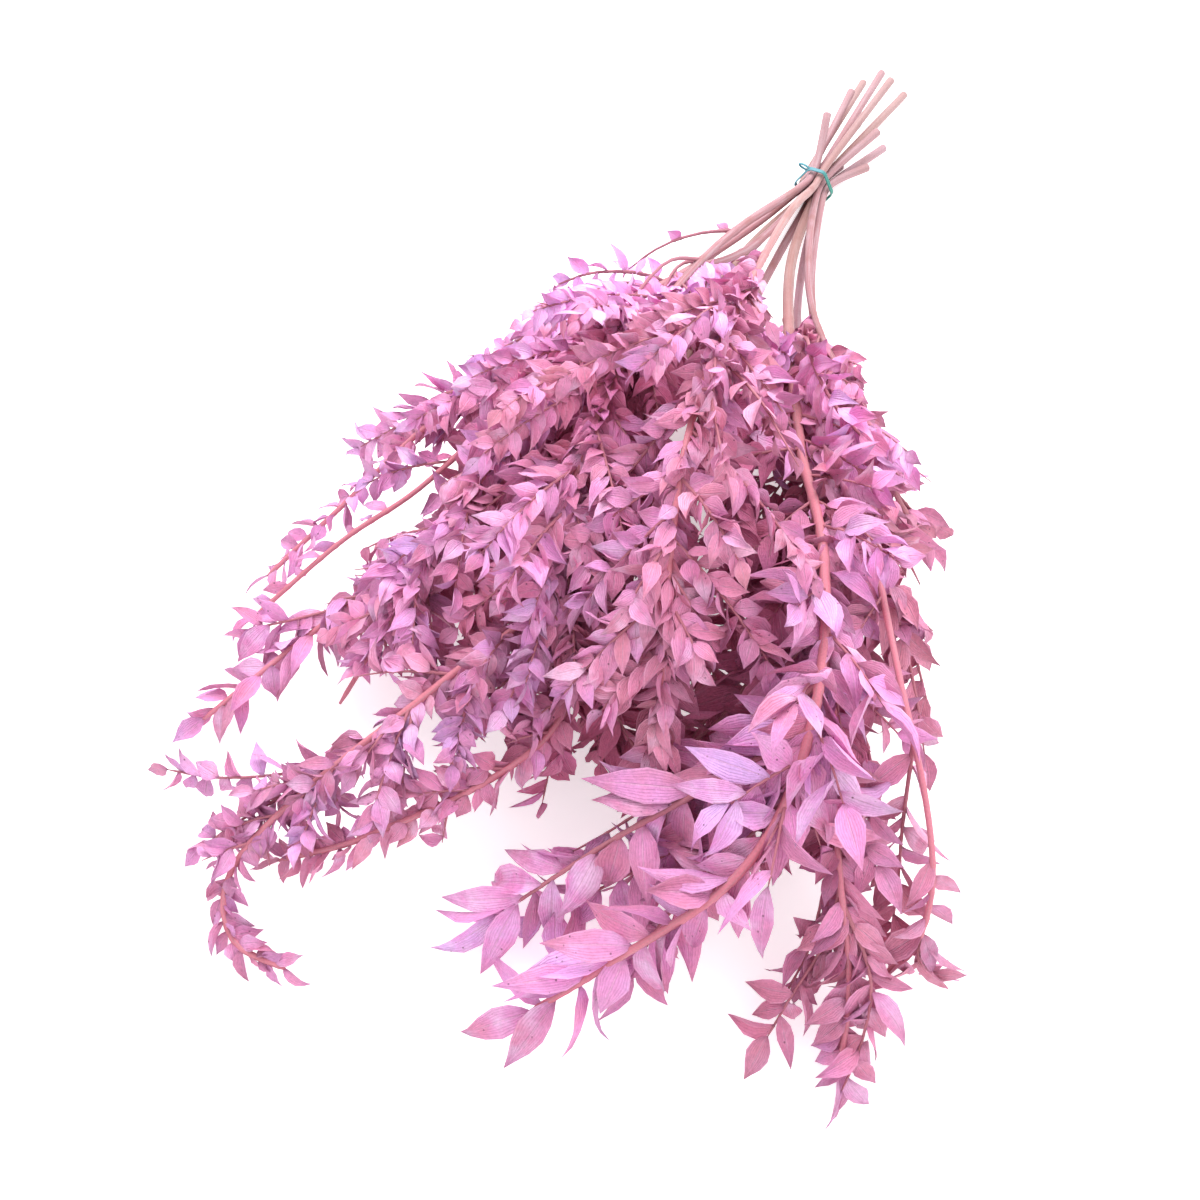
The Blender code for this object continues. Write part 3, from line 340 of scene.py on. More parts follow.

# Shoots that are placed one by one, because they show singly or close an open place: the stem they
# leave, the Y in centimetres where they leave it, their leaf size, whether their leaves may pass the
# bunch's edge, how much wider apart than usual these are, the shoot's radius in millimetres where it
# leaves and how late it tapers where that's unusual, and its points, as for the canes.
PLACED_SHOOTS = {
    "fork": {
        "stem": "stem_f", "from": -47.6, "leaf": 1.6, "free": True, "gap": 0.8, "radius": 2.9,
        "taper": 2.0,
        "way": [(12.4, -51.4, 10.2), (8.5, -55, 6.6), (4.4, -59.4, 2.4)],
    },
    "sprig": {
        "stem": "stem_d", "from": -54.6, "leaf": 0.72, "free": True, "gap": 1.7,
        "way": [(-6.4, -56.7, 5), (-8.8, -58, 4), (-12.2, -59.3, 3), (-15.2, -59.8, 2.2)],
    },
    "side_twig": {
        "stem": "stem_l", "from": -15.6, "leaf": 0.45, "free": True, "gap": 9.0,
        "way": [(-1.4, -16.8, 9.7), (-2.6, -18.6, 10.4), (-4.2, -20.4, 10.2), (-5.6, -21.7, 9)],
    },
    "low_cluster": {
        "stem": "stem_g", "from": -49, "leaf": 0.74, "free": True,
        "way": [(18.6, -52.9, 5.2), (18.9, -54.9, 3.4), (18.7, -56.7, 2.2), (18.6, -57.2, 1.9)],
    },
    "low_left_end": {
        "stem": "stem_g", "from": -52, "leaf": 0.88, "free": True,
        "way": [(19.5, -54.2, 4.4), (18.9, -57.2, 2.4), (18.6, -59, 1.6)],
    },
    "low_right": {
        "stem": "stem_g", "from": -53, "leaf": 0.85, "free": True,
        "way": [(22, -55.2, 4.2), (22.7, -57.8, 2.2), (22.6, -59.8, 1.4)],
    },
    "fill_middle": {
        "stem": "stem_g", "from": -38, "leaf": 1.1,
        "way": [(12.6, -42, 6), (10.3, -45.5, 5), (9.4, -47.8, 3.8), (8.2, -50.1, 2.2)],
    },
    "fill_high": {
        "stem": "stem_f", "from": -40, "leaf": 1.15,
        "way": [(11.8, -43.5, 8.6), (10.8, -46.5, 6.2), (9, -48.8, 4), (7.4, -50.2, 2.6)],
    },
    "fill_fork": {
        "stem": "stem_f", "from": -43, "leaf": 1.2,
        "way": [(13.2, -46.5, 8), (12.2, -49.5, 5.6), (11, -52.5, 3.4), (9.6, -54.5, 2)],
    },
    "fill_low": {
        "stem": "stem_g", "from": -42, "leaf": 1.1,
        "way": [(14.4, -46.1, 5.6), (14.1, -49, 3.4), (14, -51.5, 2)],
    },
    "fill_centre": {
        "stem": "stem_e", "from": -38, "leaf": 1.0,
        "way": [(5.4, -41, 6.6), (8, -42.6, 6), (9.4, -43.6, 4.6), (10.4, -44.4, 3.2)],
    },
    "fill_left": {
        "stem": "stem_l", "from": -44, "leaf": 0.85,
        "way": [(3.2, -46.5, 8.4), (5.4, -48, 6), (6.6, -49.2, 4), (7.2, -50.2, 2.6)],
    },
    "fill_tip": {
        "stem": "stem_l", "from": -46, "leaf": 0.72, "free": True,
        "way": [(2.6, -49, 7.2), (3.4, -51, 4.6), (3.8, -53.2, 2.4)],
    },
    "right_inner": {
        "stem": "stem_h", "from": -45.5, "leaf": 1.0,
        "way": [(20.9, -48.4, 6.4), (21.8, -50.2, 3.8), (22.4, -51.8, 1.8)],
    },
    "right_end": {
        "stem": "stem_h", "from": -51.5, "leaf": 0.95, "free": True,
        "way": [(23.9, -53, 3), (25.3, -52.8, 1.7)],
    },
    "right_side": {
        "stem": "stem_h", "from": -36.5, "leaf": 0.98,
        "way": [(17.4, -39, 8.4), (19.4, -41, 6), (21, -42.4, 3)],
    },
    "fill_under": {
        "stem": "stem_e", "from": -40, "leaf": 0.95,
        "way": [(5.2, -42.6, 4.8), (6.8, -45, 3.6), (8.6, -46.6, 2.8), (10.2, -47.6, 2.2)],
    },
    "fill_behind": {
        "stem": "stem_f", "from": -35, "leaf": 0.95,
        "way": [(10.8, -37.2, 8.4), (9.6, -39.2, 6.4), (8.4, -40.8, 4)],
    },
    "fork_under": {
        "stem": "stem_f", "from": -49, "leaf": 1.35, "free": True,
        "way": [(12.6, -52.6, 7.4), (9.6, -55.6, 4.6), (6.4, -58.6, 2.6)],
    },
    "crown_left": {
        "stem": "stem_l", "from": -22, "leaf": 0.52,
        "way": [(-1.5, -25.5, 14.4), (-1.9, -28.6, 14.8), (-2.2, -31.8, 14), (-2.4, -35, 12.6)],
    },
    "crown_right": {
        "stem": "stem_j", "from": -19, "leaf": 0.52,
        "way": [(-1.6, -23.5, 12.4), (-1.2, -28, 13.4), (-0.9, -32, 13.4), (-0.8, -35.5, 12.4)],
    },
    "crest_high": {
        "stem": "stem_b", "from": -19.5, "leaf": 0.62, "free": True, "gap": 1.8,
        "way": [(-5.2, -21.6, 8.8), (-7.4, -23.4, 9.4), (-9.2, -24.4, 8.6)],
    },
    "crest_low": {
        "stem": "stem_b", "from": -23.5, "leaf": 0.62, "free": True, "gap": 1.8,
        "way": [(-7, -25.4, 9), (-8.8, -26.4, 8.2), (-10.2, -26.9, 7)],
    },
    "fill_front": {
        "stem": "stem_i", "from": -46, "leaf": 0.92,
        "way": [(8, -47.5, 10.4), (9, -50, 6.6), (9.8, -52, 4)],
    },
    "fill_front_low": {
        "stem": "stem_e", "from": -45, "leaf": 0.92,
        "way": [(5.2, -48, 6.4), (7.6, -49.6, 5), (9.8, -50.8, 3.6)],
    },
    "fork_low": {
        "stem": "stem_f", "from": -51, "leaf": 1.3, "free": True,
        "way": [(13.6, -54.2, 7.4), (12, -57, 4), (11.6, -59, 2)],
    },
    "fork_high": {
        "stem": "stem_f", "from": -45.5, "leaf": 1.25, "free": True,
        "way": [(12.4, -49.4, 9.4), (9.2, -53, 6.6), (7.6, -54.5, 4.8), (6.6, -55.3, 3.8)],
    },
    "left_top": {
        "stem": "stem_b", "from": -33.5, "leaf": 0.85, "free": True,
        "way": [(-11.4, -35.4, 8.6), (-13.5, -36.6, 6.4), (-16.3, -37.8, 4)],
    },
    "left_cluster": {
        "stem": "stem_c", "from": -46, "leaf": 1.0, "free": True,
        "way": [(-10.8, -48.4, 5), (-13.2, -49.8, 4), (-15.9, -51, 2.8)],
    },
    "hook_side": {
        "stem": "stem_d", "from": -57.5, "leaf": 0.72, "free": True,
        "way": [(-8.4, -59.6, 4), (-10.3, -61.4, 2.5), (-11.3, -62.6, 1.5)],
    },
    "right_tip": {
        "stem": "stem_k", "from": -23, "leaf": 0.85,
        "way": [(12.4, -27, 6.4), (15.4, -27.6, 3.6), (17.4, -27, 2)],
    },
    "right_middle": {
        "stem": "stem_h", "from": -33.5, "leaf": 0.98,
        "way": [(16, -36.4, 8.4), (18.4, -38, 5.6), (20.4, -39.4, 2.6)],
    },
    "right_low": {
        "stem": "stem_h", "from": -31, "leaf": 0.95,
        "way": [(14.6, -32.4, 8), (17.6, -33.6, 5)],
    },
    "right_high": {
        "stem": "stem_f", "from": -21.5, "leaf": 0.95,
        "way": [
            (6.3, -22.7, 9.2), (7.6, -25.6, 10.4), (9.7, -28.4, 10.9), (11.9, -29.6, 10.4),
            (13.8, -29.4, 9.0), (14.5, -29.1, 8.2),
        ],
    },
}

# The bunch's ragged edge as the camera sees it, anticlockwise from the band, and the open places
# in it. Each point is where a line of sight meets the floor, in centimetres from the band.
EDGE = [
    (-3, -7.5), (-4, -9.5), (-5, -11.5), (-6.5, -13.5), (-8.5, -13.5), (-11, -14), (-12, -15), (-14, -16),
    (-14.5, -20.5), (-16, -24.5), (-16.5, -28), (-17.5, -31.5), (-19.5, -33), (-19.5, -36.5),
    (-17.5, -38), (-19, -39), (-20.5, -43.5), (-19.5, -46), (-19, -48.5), (-18, -51.5), (-19, -53),
    (-19, -55.5), (-17, -57.5), (-15.5, -57), (-14, -54), (-13.5, -50.5), (-12, -49), (-9.5, -48),
    (-10.5, -50.5), (-6.5, -49), (-7, -51.5), (-7.5, -53.5), (-9, -55), (-11.5, -56), (-13, -58),
    (-17.5, -59.5), (-16, -61), (-13.5, -60), (-13, -62), (-12.5, -63), (-9.5, -66), (-5.5, -67.5),
    (-3, -67.5), (-3, -65), (-5.5, -65.5), (-8, -65), (-9, -62), (-6.5, -61), (-3, -57.5),
    (0, -57.5), (-0.5, -52.5), (0.5, -51), (2.5, -52.5), (3, -54.5), (2.5, -56), (1, -57.5),
    (0.5, -60), (3, -64), (7.5, -65), (12.5, -62.5), (18.5, -59.5), (20, -62), (25, -59.5),
    (26.5, -53), (24, -46), (22.5, -40.5), (21, -36.5), (20, -33), (17.5, -31.5), (16.5, -28.5),
    (19, -27), (19, -24), (17, -23), (15.5, -21.5), (13, -19), (10, -17.5), (9.5, -14),
    (7.5, -12.5), (6, -13.5), (4, -12), (3, -12.5), (2.5, -15), (1.5, -11), (0, -10), (-1.5, -8),
]
OPENINGS = [
    [(-5.9, -7.9), (-8, -11.9), (-6.8, -12.4), (-5, -9.3), (-3.5, -6.3)],
    [(-0.8, -26.6), (-0.1, -23.1), (0.9, -23.8), (1.3, -25.8), (0.5, -27.1)],
    [(-17.5, -48.1), (-16.4, -45.1), (-15.3, -42.3), (-13.6, -45), (-14.6, -47.1), (-14.8, -48.2)],
    [
        (-16.1, -46.2), (-15.6, -41.2), (-14.4, -37.2), (-13.3, -34), (-12.4, -31.5), (-12, -33.2),
        (-12.4, -35.9), (-12.2, -38), (-13.4, -39.5), (-14.4, -41.8), (-13.9, -44.1), (-15, -46.5),
    ],
    [(19.1, -40.9), (20, -43), (20.6, -45), (21.4, -45), (22.4, -44.6), (21.7, -42.9), (20.3, -40.5)],
    [(3.7, -53.5), (3.4, -51.5), (6.3, -50.6), (7, -52), (7, -53.6)],
    [(-1.1, -51), (-0.5, -50), (0.4, -50.8), (-0.4, -51.5)],
    [
        (16.7, -50.6), (17.5, -49.9), (18.2, -50.4), (18.5, -51.6), (18.2, -52.7), (18.2, -54.1),
        (18.4, -55.9), (17.8, -56.2), (17.5, -54.1), (17.5, -53),
    ],
    [(13.3, -23.5), (14.9, -23.4), (16.8, -23.7), (16.3, -24.8), (14.6, -25)],
    [(-10.9, -52), (-10.8, -50), (-9.6, -50.8), (-8.4, -51.8), (-8.5, -53.1), (-9.9, -53)],
]

# Where the photo shows a cane among the leaves: a place as above, and the height in centimetres
# from which no leaf covers it
CLEARINGS = [
    ([(3.5, -14.9), (4.1, -14.6), (7.6, -22.3), (9.7, -26.7), (9.1, -27), (7, -22.6)], 9.0),
    ([(1.7, -30.5), (2.4, -30.1), (4.3, -36.7), (3.7, -37)], 15.0),
]

# Where the camera stands, its distance from what it looks at, that place on the floor, and its lens
# and sensor in millimetres
AZIMUTH = math.radians(25)
ELEVATION = math.radians(58)
DISTANCE = 0.72
TARGET = Vector((-0.027, -0.118, 0.0))
LENS = 36.0
SENSOR = 36.0

# The floor's half-width, and the place, size and colour of each light
FLOOR_HALF = 8.0
SKY_COLOUR = (1.0, 0.98, 1.0, 1.0)
KEY_LIGHT = ((-0.25, 0.6, 1.0), 1.2, (1.0, 0.97, 1.0))
FILL_LIGHT = ((1.3, -0.5, 1.0), 1.0, (1.0, 0.96, 0.98))


def camera_side(azimuth, elevation):
    """The direction from the bunch to the camera."""
    level = math.cos(elevation)
    return Vector((math.sin(azimuth) * level, -math.cos(azimuth) * level, math.sin(elevation)))


CAMERA_AT = TARGET + camera_side(AZIMUTH, ELEVATION) * DISTANCE


def draw(*keys):
    """Random numbers that belong to these keys alone."""
    return random.Random("/".join(str(key) for key in (SEED,) + keys))


class Limb:
    """A cane or a shoot: a curve, its radius along the way, and the leaves on it."""

    def __init__(self, name, curve, radius, tip_radius, facing):
        self.name = name
        self.curve = curve
        self.radius = radius
        self.tip_radius = tip_radius
        self.lengths = [0.0]
        for before, after in zip(curve, curve[1:]):
            self.lengths.append(self.lengths[-1] + (after - before).length)
        self.length = self.lengths[-1]
        self.normals = []
        normal = facing
        for index in range(len(curve)):
            ahead = self.direction(index)
            normal = normal - ahead * normal.dot(ahead)
            normal.normalize()
            self.normals.append(normal)
        self.leaves = []
        self.leaf_gap = 1.0
        self.ranks = TWO_RANKS
        self.taper = TAPER
        self.leaves_at = 0.0
        self.heel = None
        self.shoots = []
        self.light = 0.0
        self.lilac = 0.5
        self.hue = draw(name, "hue").random()

    def at(self, distance):
        """The position, direction and facing at a distance along the limb."""
        distance = min(max(distance, 0.0), self.length - 1e-6)
        index = 0
        while self.lengths[index + 1] < distance:
            index += 1
        share = (distance - self.lengths[index]) / (self.lengths[index + 1] - self.lengths[index])
        position = self.curve[index].lerp(self.curve[index + 1], share)
        ahead = self.direction(index).lerp(self.direction(index + 1), share).normalized()
        normal = self.normals[index].lerp(self.normals[index + 1], share)
        normal = (normal - ahead * normal.dot(ahead)).normalized()
        return position, ahead, normal

    def direction(self, index):
        """The direction at one of the curve's points."""
        before = self.curve[max(index - 1, 0)]
        after = self.curve[min(index + 1, len(self.curve) - 1)]
        return (after - before).normalized()

    def radius_at(self, distance):
        """The radius at a distance along the limb, with a cane's swell where it is bare."""
        share = min(max(distance / self.length, 0.0), 1.0)
        radius = self.radius + (self.tip_radius - self.radius) * share ** self.taper
        if self.heel is not None:
            past = (distance - self.heel) / CM
            radius *= 1 + BARE_SWELL * ramp(past, *SWELL_IN) * (1 - ramp(past, *SWELL_OUT))
        return radius


def ramp(value, low, high):
    """0 up to low, 1 from high on, and a smooth rise between them."""
    share = min(max((value - low) / (high - low), 0.0), 1.0)
    return share * share * (3 - 2 * share)


def smooth_curve(knots):
    """A smooth curve through the knots, with a point about every CURVE_STEP."""
    curve = [knots[0]]
    for index in range(len(knots) - 1):
        start = knots[index]
        end = knots[index + 1]
        before = knots[max(index - 1, 0)]
        after = knots[min(index + 2, len(knots) - 1)]
        reach = (end - start).length / 3
        leave = start + (end - before).normalized() * reach
        arrive = end - (after - start).normalized() * reach
        count = max(2, round((end - start).length / CURVE_STEP))
        curve.extend(interpolate_bezier(start, leave, arrive, end, count + 1)[1:])
    return curve


def way_points(way):
    """Places given in centimetres, along X and Y from the band and above the surface along Z."""
    return [Vector((TIE_AT.x + x * CM, TIE_AT.y + y * CM, z * CM)) for x, y, z in way]


def place_in_band(place):
    """Where a column and a row of the lattice lie from the band's middle."""
    pitch = 2 * CANE_RADIUS + CANE_GAP
    return Vector((place[0] * pitch, 0, (place[1] - BAND_ROW) * pitch * math.sqrt(0.75)))


def encloses(line, x, y):
    """Whether a closed line goes round a place."""
    inside = False
    for (x1, y1), (x2, y2) in zip(line, line[1:] + line[:1]):
        if (y1 > y) != (y2 > y) and x < x1 + (x2 - x1) * (y - y1) / (y2 - y1):
            inside = not inside
    return inside


def in_bunch(point, edged=True):
    """Whether the camera sees a point outside openings and clearings and, if edged, within the edge."""
    sight = point - CAMERA_AT
    spot = CAMERA_AT - sight * (CAMERA_AT.z / sight.z)
    x = (spot.x - TIE_AT.x) / CM
    y = (spot.y - TIE_AT.y) / CM
    if edged and not encloses(EDGE, x, y):
        return False
    if any(point.z > height * CM and encloses(line, x, y) for line, height in CLEARINGS):
        return False
    return not any(encloses(opening, x, y) for opening in OPENINGS)


def grow_cane(name, spec):
    """A cane from its cut end through the band and along its way."""
    place = place_in_band(spec["place"])
    end = TIE_AT + place + Vector(spec["heel"]) * CM
    held = Vector((0, HELD_LENGTH / 2, 0))
    middle = TIE_AT + place
    curve = smooth_curve([end, middle + held, middle - held] + way_points(spec["way"]))
    cane = Limb(name, curve, CANE_RADIUS, spec.get("tip", CANE_TIP) * MM, Vector((0, 0, 1)))
    cane.heel = (end - TIE_AT - place).length
    cane.taper = spec.get("taper", TAPER)
    return cane


def grow_shoot(cane, key, distance, side, length, turns):
    """A side shoot that leaves the cane at a distance along it, then droops."""
    rng = draw(cane.name, "shoot", key)
    position, ahead, normal = cane.at(distance)
    turn = rng.uniform(*turns)
    out = ahead.cross(normal) * side * math.cos(turn) + normal * math.sin(turn)
    angle = SHOOT_ANGLE * rng.uniform(0.75, 1.25)
    heading = ahead * math.cos(angle) + out * math.sin(angle)
    length = length * rng.uniform(0.75, 1.15)
    count = max(3, round(length / CURVE_STEP))
    curve = [position]
    for _ in range(count):
        heading = (heading + Vector((0, 0, -SHOOT_DROOP / count))).normalized()
        point = curve[-1] + heading * (length / count)
        point.z = min(max(point.z, SHOOT_RADIUS + SHOOT_CLEARANCE), CEILING - HEADROOM)
        if not in_bunch(point):
            break
        curve.append(point)
    if len(curve) < 3:
        return None
    facing = FACING + Vector((rng.uniform(-0.7, 0.7), rng.uniform(-0.5, 0.6), rng.uniform(-0.3, 0.2)))
    if abs(heading.dot(facing.normalized())) > 0.93:
        facing = normal
    radius = min(SHOOT_RADIUS, 0.62 * cane.radius_at(distance))
    shoot = Limb(cane.name + "/" + str(key), curve, radius, min(radius, SHOOT_TIP_RADIUS), facing)
    shoot.leaves_at = distance
    return shoot


def grow_placed_shoot(cane, key, spec):
    """A shoot along its own points, from the cane's first point past the place where it leaves."""
    leave = TIE_AT.y + spec["from"] * CM
    passed = [index for index, point in enumerate(cane.curve) if point.y < leave]
    distance = cane.lengths[passed[0]]
    start = cane.at(distance)[0]
    radius = min(spec.get("radius", PLACED_RADIUS) * MM, 0.8 * cane.radius_at(distance))
    curve = smooth_curve([start] + way_points(spec["way"]))
    shoot = Limb(cane.name + "/" + key, curve, radius, PLACED_TIP * radius, FACING)
    shoot.leaves_at = distance
    shoot.leaf_gap = spec.get("gap", 1.0)
    shoot.taper = spec.get("taper", TAPER)
    return shoot


def grow_leaf(limb, key, distance, side, size, sizes):
    """A leaf's start, direction, width direction and facing, its length and its width.

    A leaf that would dip into the surface is lifted and turned flat until it doesn't.
    """
    rng = draw(limb.name, "leaf", key)
    position, ahead, normal = limb.at(distance)
    across = ahead.cross(normal) * side + normal * math.sqrt(1 - side * side)
    angle = LEAF_ANGLE * rng.uniform(0.5, 1.35) if side else 0.0
    heading = ahead * math.cos(angle) + across * math.sin(angle)
    heading += normal * rng.uniform(-0.45, 0.6)
    heading += Vector((0, 0, -LEAF_DROOP * rng.uniform(0.2, 1.3)))
    roll = rng.gauss(0.0, 0.8)
    length = sizes.leaf_length * size * rng.uniform(0.65, 1.15)
    width = sizes.leaf_width * size ** 0.6 * rng.uniform(0.85, 1.12)
    start = position + across * limb.radius_at(distance)
    if not side:
        start = limb.curve[-1].copy()
    while True:
        heading.normalize()
        facing = (normal - heading * normal.dot(heading)).normalized()
        facing = facing * math.cos(roll) + heading.cross(facing) * math.sin(roll)
        leaf = {
            "start": start, "ahead": heading.copy(), "across": heading.cross(facing), "facing": facing,
            "length": length, "width": width,
        }
        if lowest_of(leaf) > SURFACE_GAP or heading.z > 0.6:
            return leaf
        heading = heading + Vector((0, 0, 0.12))
        roll *= 0.8


def lowest_of(leaf):
    """The height of a leaf's lowest corner: two edges and a keel at each section, and its tip."""
    heights = []
    for along, share in LEAF_SECTIONS + ((1.0, 0.0),):
        half = leaf["width"] / 2 * share
        for across, up in ((half, half * LEAF_FOLD), (-half, half * LEAF_FOLD), (0, -LEAF_THICKNESS)):
            up = 0.0 if share == 0 else up
            arch = -LEAF_ARCH * leaf["length"] * along * along
            point = leaf["start"] + leaf["ahead"] * leaf["length"] * along
            heights.append((point + leaf["across"] * across + leaf["facing"] * (up + arch)).z)
    return min(heights)


def add_leaves(limb, first, last, size, sizes, free_from=math.inf):
    """Leaves on a limb's sides in turn, smaller towards its end, and one at the end itself."""
    distance = first
    index = 0
    while distance < last:
        rng = draw(limb.name, "site", index)
        here = size(distance) * (1 - 0.2 * max(0.0, distance / limb.length - 0.55) / 0.45)
        side = limb.ranks[index % len(limb.ranks)]
        add_leaf(limb, index, distance, side, here, sizes, distance < free_from)
        distance += LEAF_STEP * limb.leaf_gap * here * rng.uniform(0.8, 1.2) * 2 / len(limb.ranks)
        index += 1
    add_leaf(limb, "end", limb.length, 0, size(limb.length) * 0.8, sizes, limb.length < free_from)


def add_leaf(limb, key, distance, side, size, sizes, trimmed):
    """Adds a leaf, unless it rises too high, fills an opening or, if trimmed, passes the bunch's edge."""
    leaf = grow_leaf(limb, key, distance, side, size, sizes)
    reach = leaf["ahead"] * leaf["length"]
    marks = (leaf["start"] + reach * 0.45, leaf["start"] + reach)
    if max(mark.z for mark in marks) < CEILING and all(in_bunch(mark, trimmed) for mark in marks):
        limb.leaves.append((distance, leaf))


def shoot_plan(cane, spec, sizes):
    """Each shoot's key, distance, side, reach and range of turns: the solids' own, then the rest."""
    longest = spec["shoots"][2] * CM
    sites = shoot_sites(cane, "step", spec["shoots"], LAST_SHOOT, SHOOT_STEP, 0.25)
    for index, distance, share, _ in sites:
        reach = longest * (0.45 + 0.55 * math.sin(math.pi * share ** 0.8))
        yield index, distance, -1 if index % 2 else 1, reach, SHOOT_TURN
    longest = spec["thicken"][2] * CM
    sites = shoot_sites(cane, "thicken", spec["thicken"], LAST_THICKENING, sizes.shoot_gap, 0.3)
    for index, distance, share, rng in sites:
        reach = longest * (0.5 + 0.5 * math.sin(math.pi * min(1.0, share + 0.15)))
        turns = COVER_TURN if index % 2 else FILL_TURN
        yield "more" + str(index), distance, rng.choice((1, -1)), reach, turns


def shoot_sites(cane, kind, span, end_gap, step, spread):
    """Each shoot's number, distance along the cane, share of the span and random numbers."""
    first, last, _ = span
    distance = cane.heel + first * CM
    index = 0
    while distance < min(cane.heel + last * CM, cane.length - end_gap):
        rng = draw(cane.name, kind, index)
        share = max(0.0, distance - cane.heel - first * CM) / ((last - first) * CM)
        yield index, distance, share, rng
        distance += step * rng.uniform(1 - spread, 1 + spread)
        index += 1


def grow_stem(name, spec, sizes):
    """A cane with its shoots and leaves, and more shoots that cover it and fill in below it."""
    cane = grow_cane(name, spec)
    cane.lilac = spec["lilac"]
    cane.light = spec.get("light", 0.0)
    near, far = spec["leaf"]

    def size_at(distance):
        share = (distance - cane.heel - GROWTH_FROM) / (cane.length - cane.heel - GROWTH_FROM)
        return near + (far - near) * min(max(share, 0.0), 1.0) ** GROWTH_DELAY

    for key, distance, side, reach, turns in shoot_plan(cane, spec, sizes):
        shoot = grow_shoot(cane, key, distance, side, reach, turns)
        if shoot:
            dress_shoot(cane, shoot, size_at(distance), GROWN_BARE, sizes)
            shoot.lilac = cane.lilac + draw(shoot.name, "dye").gauss(0, 0.13)
    for key, placed in PLACED_SHOOTS.items():
        if placed["stem"] == name:
            shoot = grow_placed_shoot(cane, key, placed)
            free_from = 0.0 if placed.get("free") else math.inf
            dress_shoot(cane, shoot, placed["leaf"], PLACED_BARE, sizes, free_from)
    cane.leaf_gap = spec.get("gap", 1.0)
    cane.ranks = FOUR_RANKS if spec.get("covered") else TWO_RANKS
    first = cane.heel + spec["leaves"] * CM
    add_leaves(cane, first, cane.length - CANE_END_BARE, size_at, sizes, cane.length * FREE_FROM)
    return cane


def dress_shoot(cane, shoot, size, bare, sizes, free_from=math.inf):
    """Gives a shoot leaves of one size and its cane's dye, and joins it to its cane."""
    add_leaves(shoot, bare[0], shoot.length - bare[1], lambda _: size, sizes, free_from)
    shoot.lilac = cane.lilac
    shoot.light = cane.light
    cane.shoots.append(shoot)


def mark_deep_leaves(canes):
    """Marks how deep each leaf lies below the top of the foliage round it, from 0 to 1, for painted
    shade.
    """
    tops = {}
    leaves = [leaf for cane in canes for limb in [cane] + cane.shoots for _, leaf in limb.leaves]
    for leaf in leaves:
        middle = leaf["start"] + leaf["ahead"] * leaf["length"] * 0.5
        leaf["height"] = middle.z
        leaf["cell"] = (round(middle.x / DEEP_CELL), round(middle.y / DEEP_CELL))
        tops[leaf["cell"]] = max(tops.get(leaf["cell"], 0.0), middle.z)
    for leaf in leaves:
        column, row = leaf["cell"]
        around = [tops.get((column + x, row + y), 0.0) for x in (-1, 0, 1) for y in (-1, 0, 1)]
        top = max(sum(around) / len(around), tops[leaf["cell"]] * LEAST_TOP)
        leaf["deep"] = min(max((top - leaf["height"]) / DEEP_FULL, 0.0), 1.0)


# Shader maths

class Signal:
    """A shader socket that takes part in sums, products and comparisons."""

    def __init__(self, shader, socket):
        self.shader = shader
        self.socket = socket

    def maths(self, operation, *values):
        return self.shader.node("ShaderNodeMath", {"operation": operation}, dict(enumerate(values)))

    def __add__(self, other):
        return self.maths("ADD", self, other)

    def __radd__(self, other):
        return self.maths("ADD", other, self)

    def __sub__(self, other):
        return self.maths("SUBTRACT", self, other)

    def __rsub__(self, other):
        return self.maths("SUBTRACT", other, self)

    def __mul__(self, other):
        return self.maths("MULTIPLY", self, other)

    def __rmul__(self, other):
        return self.maths("MULTIPLY", other, self)

    def sine(self):
        return self.maths("SINE", self)

    def size(self):
        return self.maths("ABSOLUTE", self)

    def clamped(self):
        return self.shader.node("ShaderNodeClamp", {}, {"Value": self})

    def between(self, low, high):
        """A smooth step that rises from 0 at low to 1 at high."""
        settings = {"interpolation_type": "SMOOTHSTEP"}
        sockets = {"Value": self, "From Min": low, "From Max": high}
        return self.shader.node("ShaderNodeMapRange", settings, sockets)


